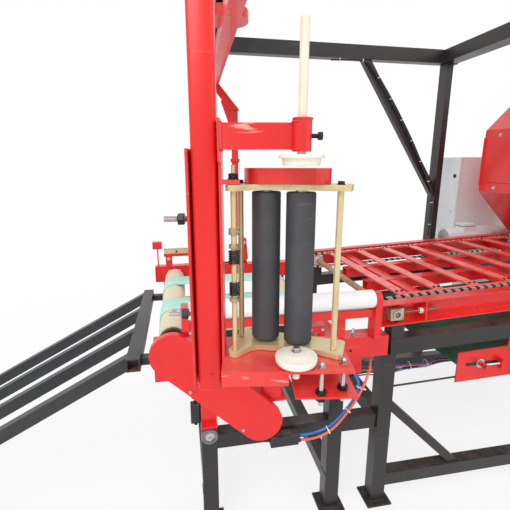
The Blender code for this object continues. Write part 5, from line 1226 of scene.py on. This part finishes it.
BEAM_UNDER, SOCKET, HOSE_POINTS = 0.7006, 0.1920, 70
blue_route = rounded_route(BASE + [(0.3955, -0.4700, BEAM_UNDER), (0.3981, -0.4795, 0.6834),
        (0.4022, -0.4921, 0.6686), (0.4119, -0.5076, 0.6496), (0.4227, -0.5171, 0.6275),
        (0.4280, -0.5202, 0.6020), (0.4241, -0.5203, 0.5759), (0.4074, -0.5200, 0.5400),
        (0.3847, -0.5203, 0.5075), (0.3548, -0.5198, 0.4721), (0.3220, -0.5171, 0.4395),
        (0.2824, -0.5118, 0.4166), (0.2383, -0.5064, 0.4043), (SOCKET, -0.5050, 0.4040)], HOSE_POINTS)
orange_route = rounded_route(BASE + [(0.5050, -0.4550, BEAM_UNDER), (0.4994, -0.4656, 0.6826),
        (0.4921, -0.4815, 0.6695), (0.4782, -0.5034, 0.6570), (0.4622, -0.5202, 0.6398),
        (0.4484, -0.5286, 0.6166), (0.4364, -0.5310, 0.5904), (0.4168, -0.5308, 0.5518),
        (0.3940, -0.5305, 0.5149), (0.3638, -0.5307, 0.4743), (0.3301, -0.5299, 0.4366),
        (0.2895, -0.5257, 0.4072), (0.2425, -0.5181, 0.3906), (SOCKET, -0.5160, 0.3900)], HOSE_POINTS)
blue_hose = finish("blue hose", (38, 122, 212), (24, 96, 190), rough=0.30, cell=30, depth=0.00003,
    coat=0.2)
orange_hose = finish("orange hose", (232, 112, 88), (214, 84, 64), rough=0.30, cell=30,
    depth=0.00003, coat=0.2)
HOSE = 0.010
for hose, route, hose_finish in (("air_hose_blue", blue_route, blue_hose),
                                 ("air_hose_red", orange_route, orange_hose)):
    tube = made(hose + "_tube", [sweep(route, HOSE / 2, 16, guide=(0.35, 0.9, 0.1))], hose_finish,
        stands_for=(hose,))
gland_profile = [(0.0052, 0.0), (0.0078, 0.0), (0.0083, 0.0010), (0.0083, 0.0080), (0.0070, 0.0100),
    (0.0052, 0.0105)]
gland, routes = ring(gland_profile, 24), (blue_route, orange_route)
glands = [placed(gland, axes(route[0], route[1] - route[0])) for route in routes]
glands += [placed(gland, axes(route[-1] + (-0.0014, 0, 0), (1, 0, 0))) for route in routes]
made("hose_glands", glands, black_plastic)
white_tie = finish("white cable tie", (242, 242, 240), (228, 228, 226), rough=0.35, cell=40)
ties = []
for share in (0.30, 0.52, 0.74):
    here = int(share * (HOSE_POINTS - 1))
    a, b = blue_route[here], orange_route[here]
    middle, ahead = (a + b) / 2, blue_route[here + 1] - a
    wide = np.linalg.norm(b - a) / 2 + HOSE / 2 + 0.0006
    tie_outline = rounded(2 * wide, HOSE + 0.0022, HOSE / 2, 6)
    tie_inner = rounded(2 * wide - 0.002, HOSE + 0.0004, HOSE / 2 - 0.001, 6)
    wall = raised((tie_outline, -0.0018), (tie_outline, 0.0018), (tie_inner, 0.0018), (tie_inner, -0.0018))
    buckle = block((wide - 0.001, -0.003, -0.0025), (wide + 0.0035, 0.003, 0.0025), 0.0006)
    ties.append(placed(stack(skin(wall, loop=True), buckle), axes(middle, ahead, b - a)))
made("hose_ties", ties, white_tie)
dressed("air_valve_block", black_plastic, 0.0015)

loom_points = BASE + [(1.466, 0.613, 0.950), (1.464, 0.613, 1.200), (1.425, 0.613, 1.330),
    (1.210, 0.613, 1.690), (0.985, 0.613, 1.995), (0.900, 0.613, 2.050), (0.700, 0.613, 2.046)]
loom = rounded_route(loom_points, 90)
strands = []
for strand in range(4):
    phase = 2 * math.pi * strand / 4 + np.linspace(0, 9, len(loom))
    twist = 0.0040 * np.stack([0.8 * np.cos(phase), np.sin(phase), 0.5 * np.cos(phase)], -1)
    strands.append(sweep(loom + twist, 0.0036, 9, guide=(0, 1, 0)))
made("brace_loom", strands, black_plastic, stands_for=("brace_cable",))
hoop = ring([(0.0085, -0.0018), (0.0097, -0.0018), (0.0097, 0.0018), (0.0085, 0.0018)], 20)
buckle = block((0.0090, -0.0022, -0.0022), (0.0140, 0.0022, 0.0022), 0.0006)
loom_ties = []
for i in range(5, 88, 9):
    ahead = loom[i + 1] - loom[i]
    loom_ties += [placed(hoop, axes(loom[i], ahead)), placed(buckle, axes(loom[i], ahead, (-1, -1, 0.2)))]
made("loom_ties", loom_ties, white_tie)

# A loom of loose wires hangs between the stand's cross tie and the return belt's frame.
wire_paths = np.array([
    [(0.420, 0.456), (0.569, 0.510), (0.672, 0.497), (0.743, 0.506), (0.825, 0.510), (0.915, 0.506),
     (0.990, 0.516), (1.075, 0.507)],
    [(0.420, 0.446), (0.571, 0.478), (0.673, 0.472), (0.745, 0.476), (0.817, 0.484), (0.905, 0.492),
     (0.983, 0.504), (1.075, 0.501)]])
WIRES = 9
wires_by_colour = {"blue": [], "orange": [], "black": []}
for number in range(WIRES):
    share = number / (WIRES - 1)
    flat = wire_paths[0] * (1 - share) + wire_paths[1] * share
    sway = 0.0030 * np.sin(np.arange(len(flat)) * (1.3 + 0.4 * number) + number)
    depth = -0.250 + 0.008 * math.sin(2.1 * number) + sway
    route = rounded_route(BASE + np.stack([flat[:, 0], depth, flat[:, 1] + 0.5 * sway], -1), 60)
    wire_colour = ("blue", "orange", "black")[(number * 2 + number // 3) % 3]
    wires_by_colour[wire_colour].append(sweep(route, 0.0030, 8, guide=(0.1, 1, 0.1)))
for wire_colour, wire_finish in (("blue", blue_hose), ("orange", orange_hose), ("black", black_plastic)):
    made("wiring_" + wire_colour, wires_by_colour[wire_colour], wire_finish)
wire_middle = upright(wire_paths.mean(0), -0.250)
hoop = ring([(0.0190, -0.0016), (0.0202, -0.0016), (0.0202, 0.0016), (0.0190, 0.0016)], 24)
made("wiring_ties", [placed(hoop, axes(BASE + wire_middle[i], (1, 0, 0.05))) for i in (2, 4, 5)], white_tie)


# ---------------------------------------------------------------- last measures
# The imported nodes that have no piece of their own get their metal here.
for node in ("table_drive_chain", "table_pinion"):
    refinished(node, chain_steel_lit_for_glints)
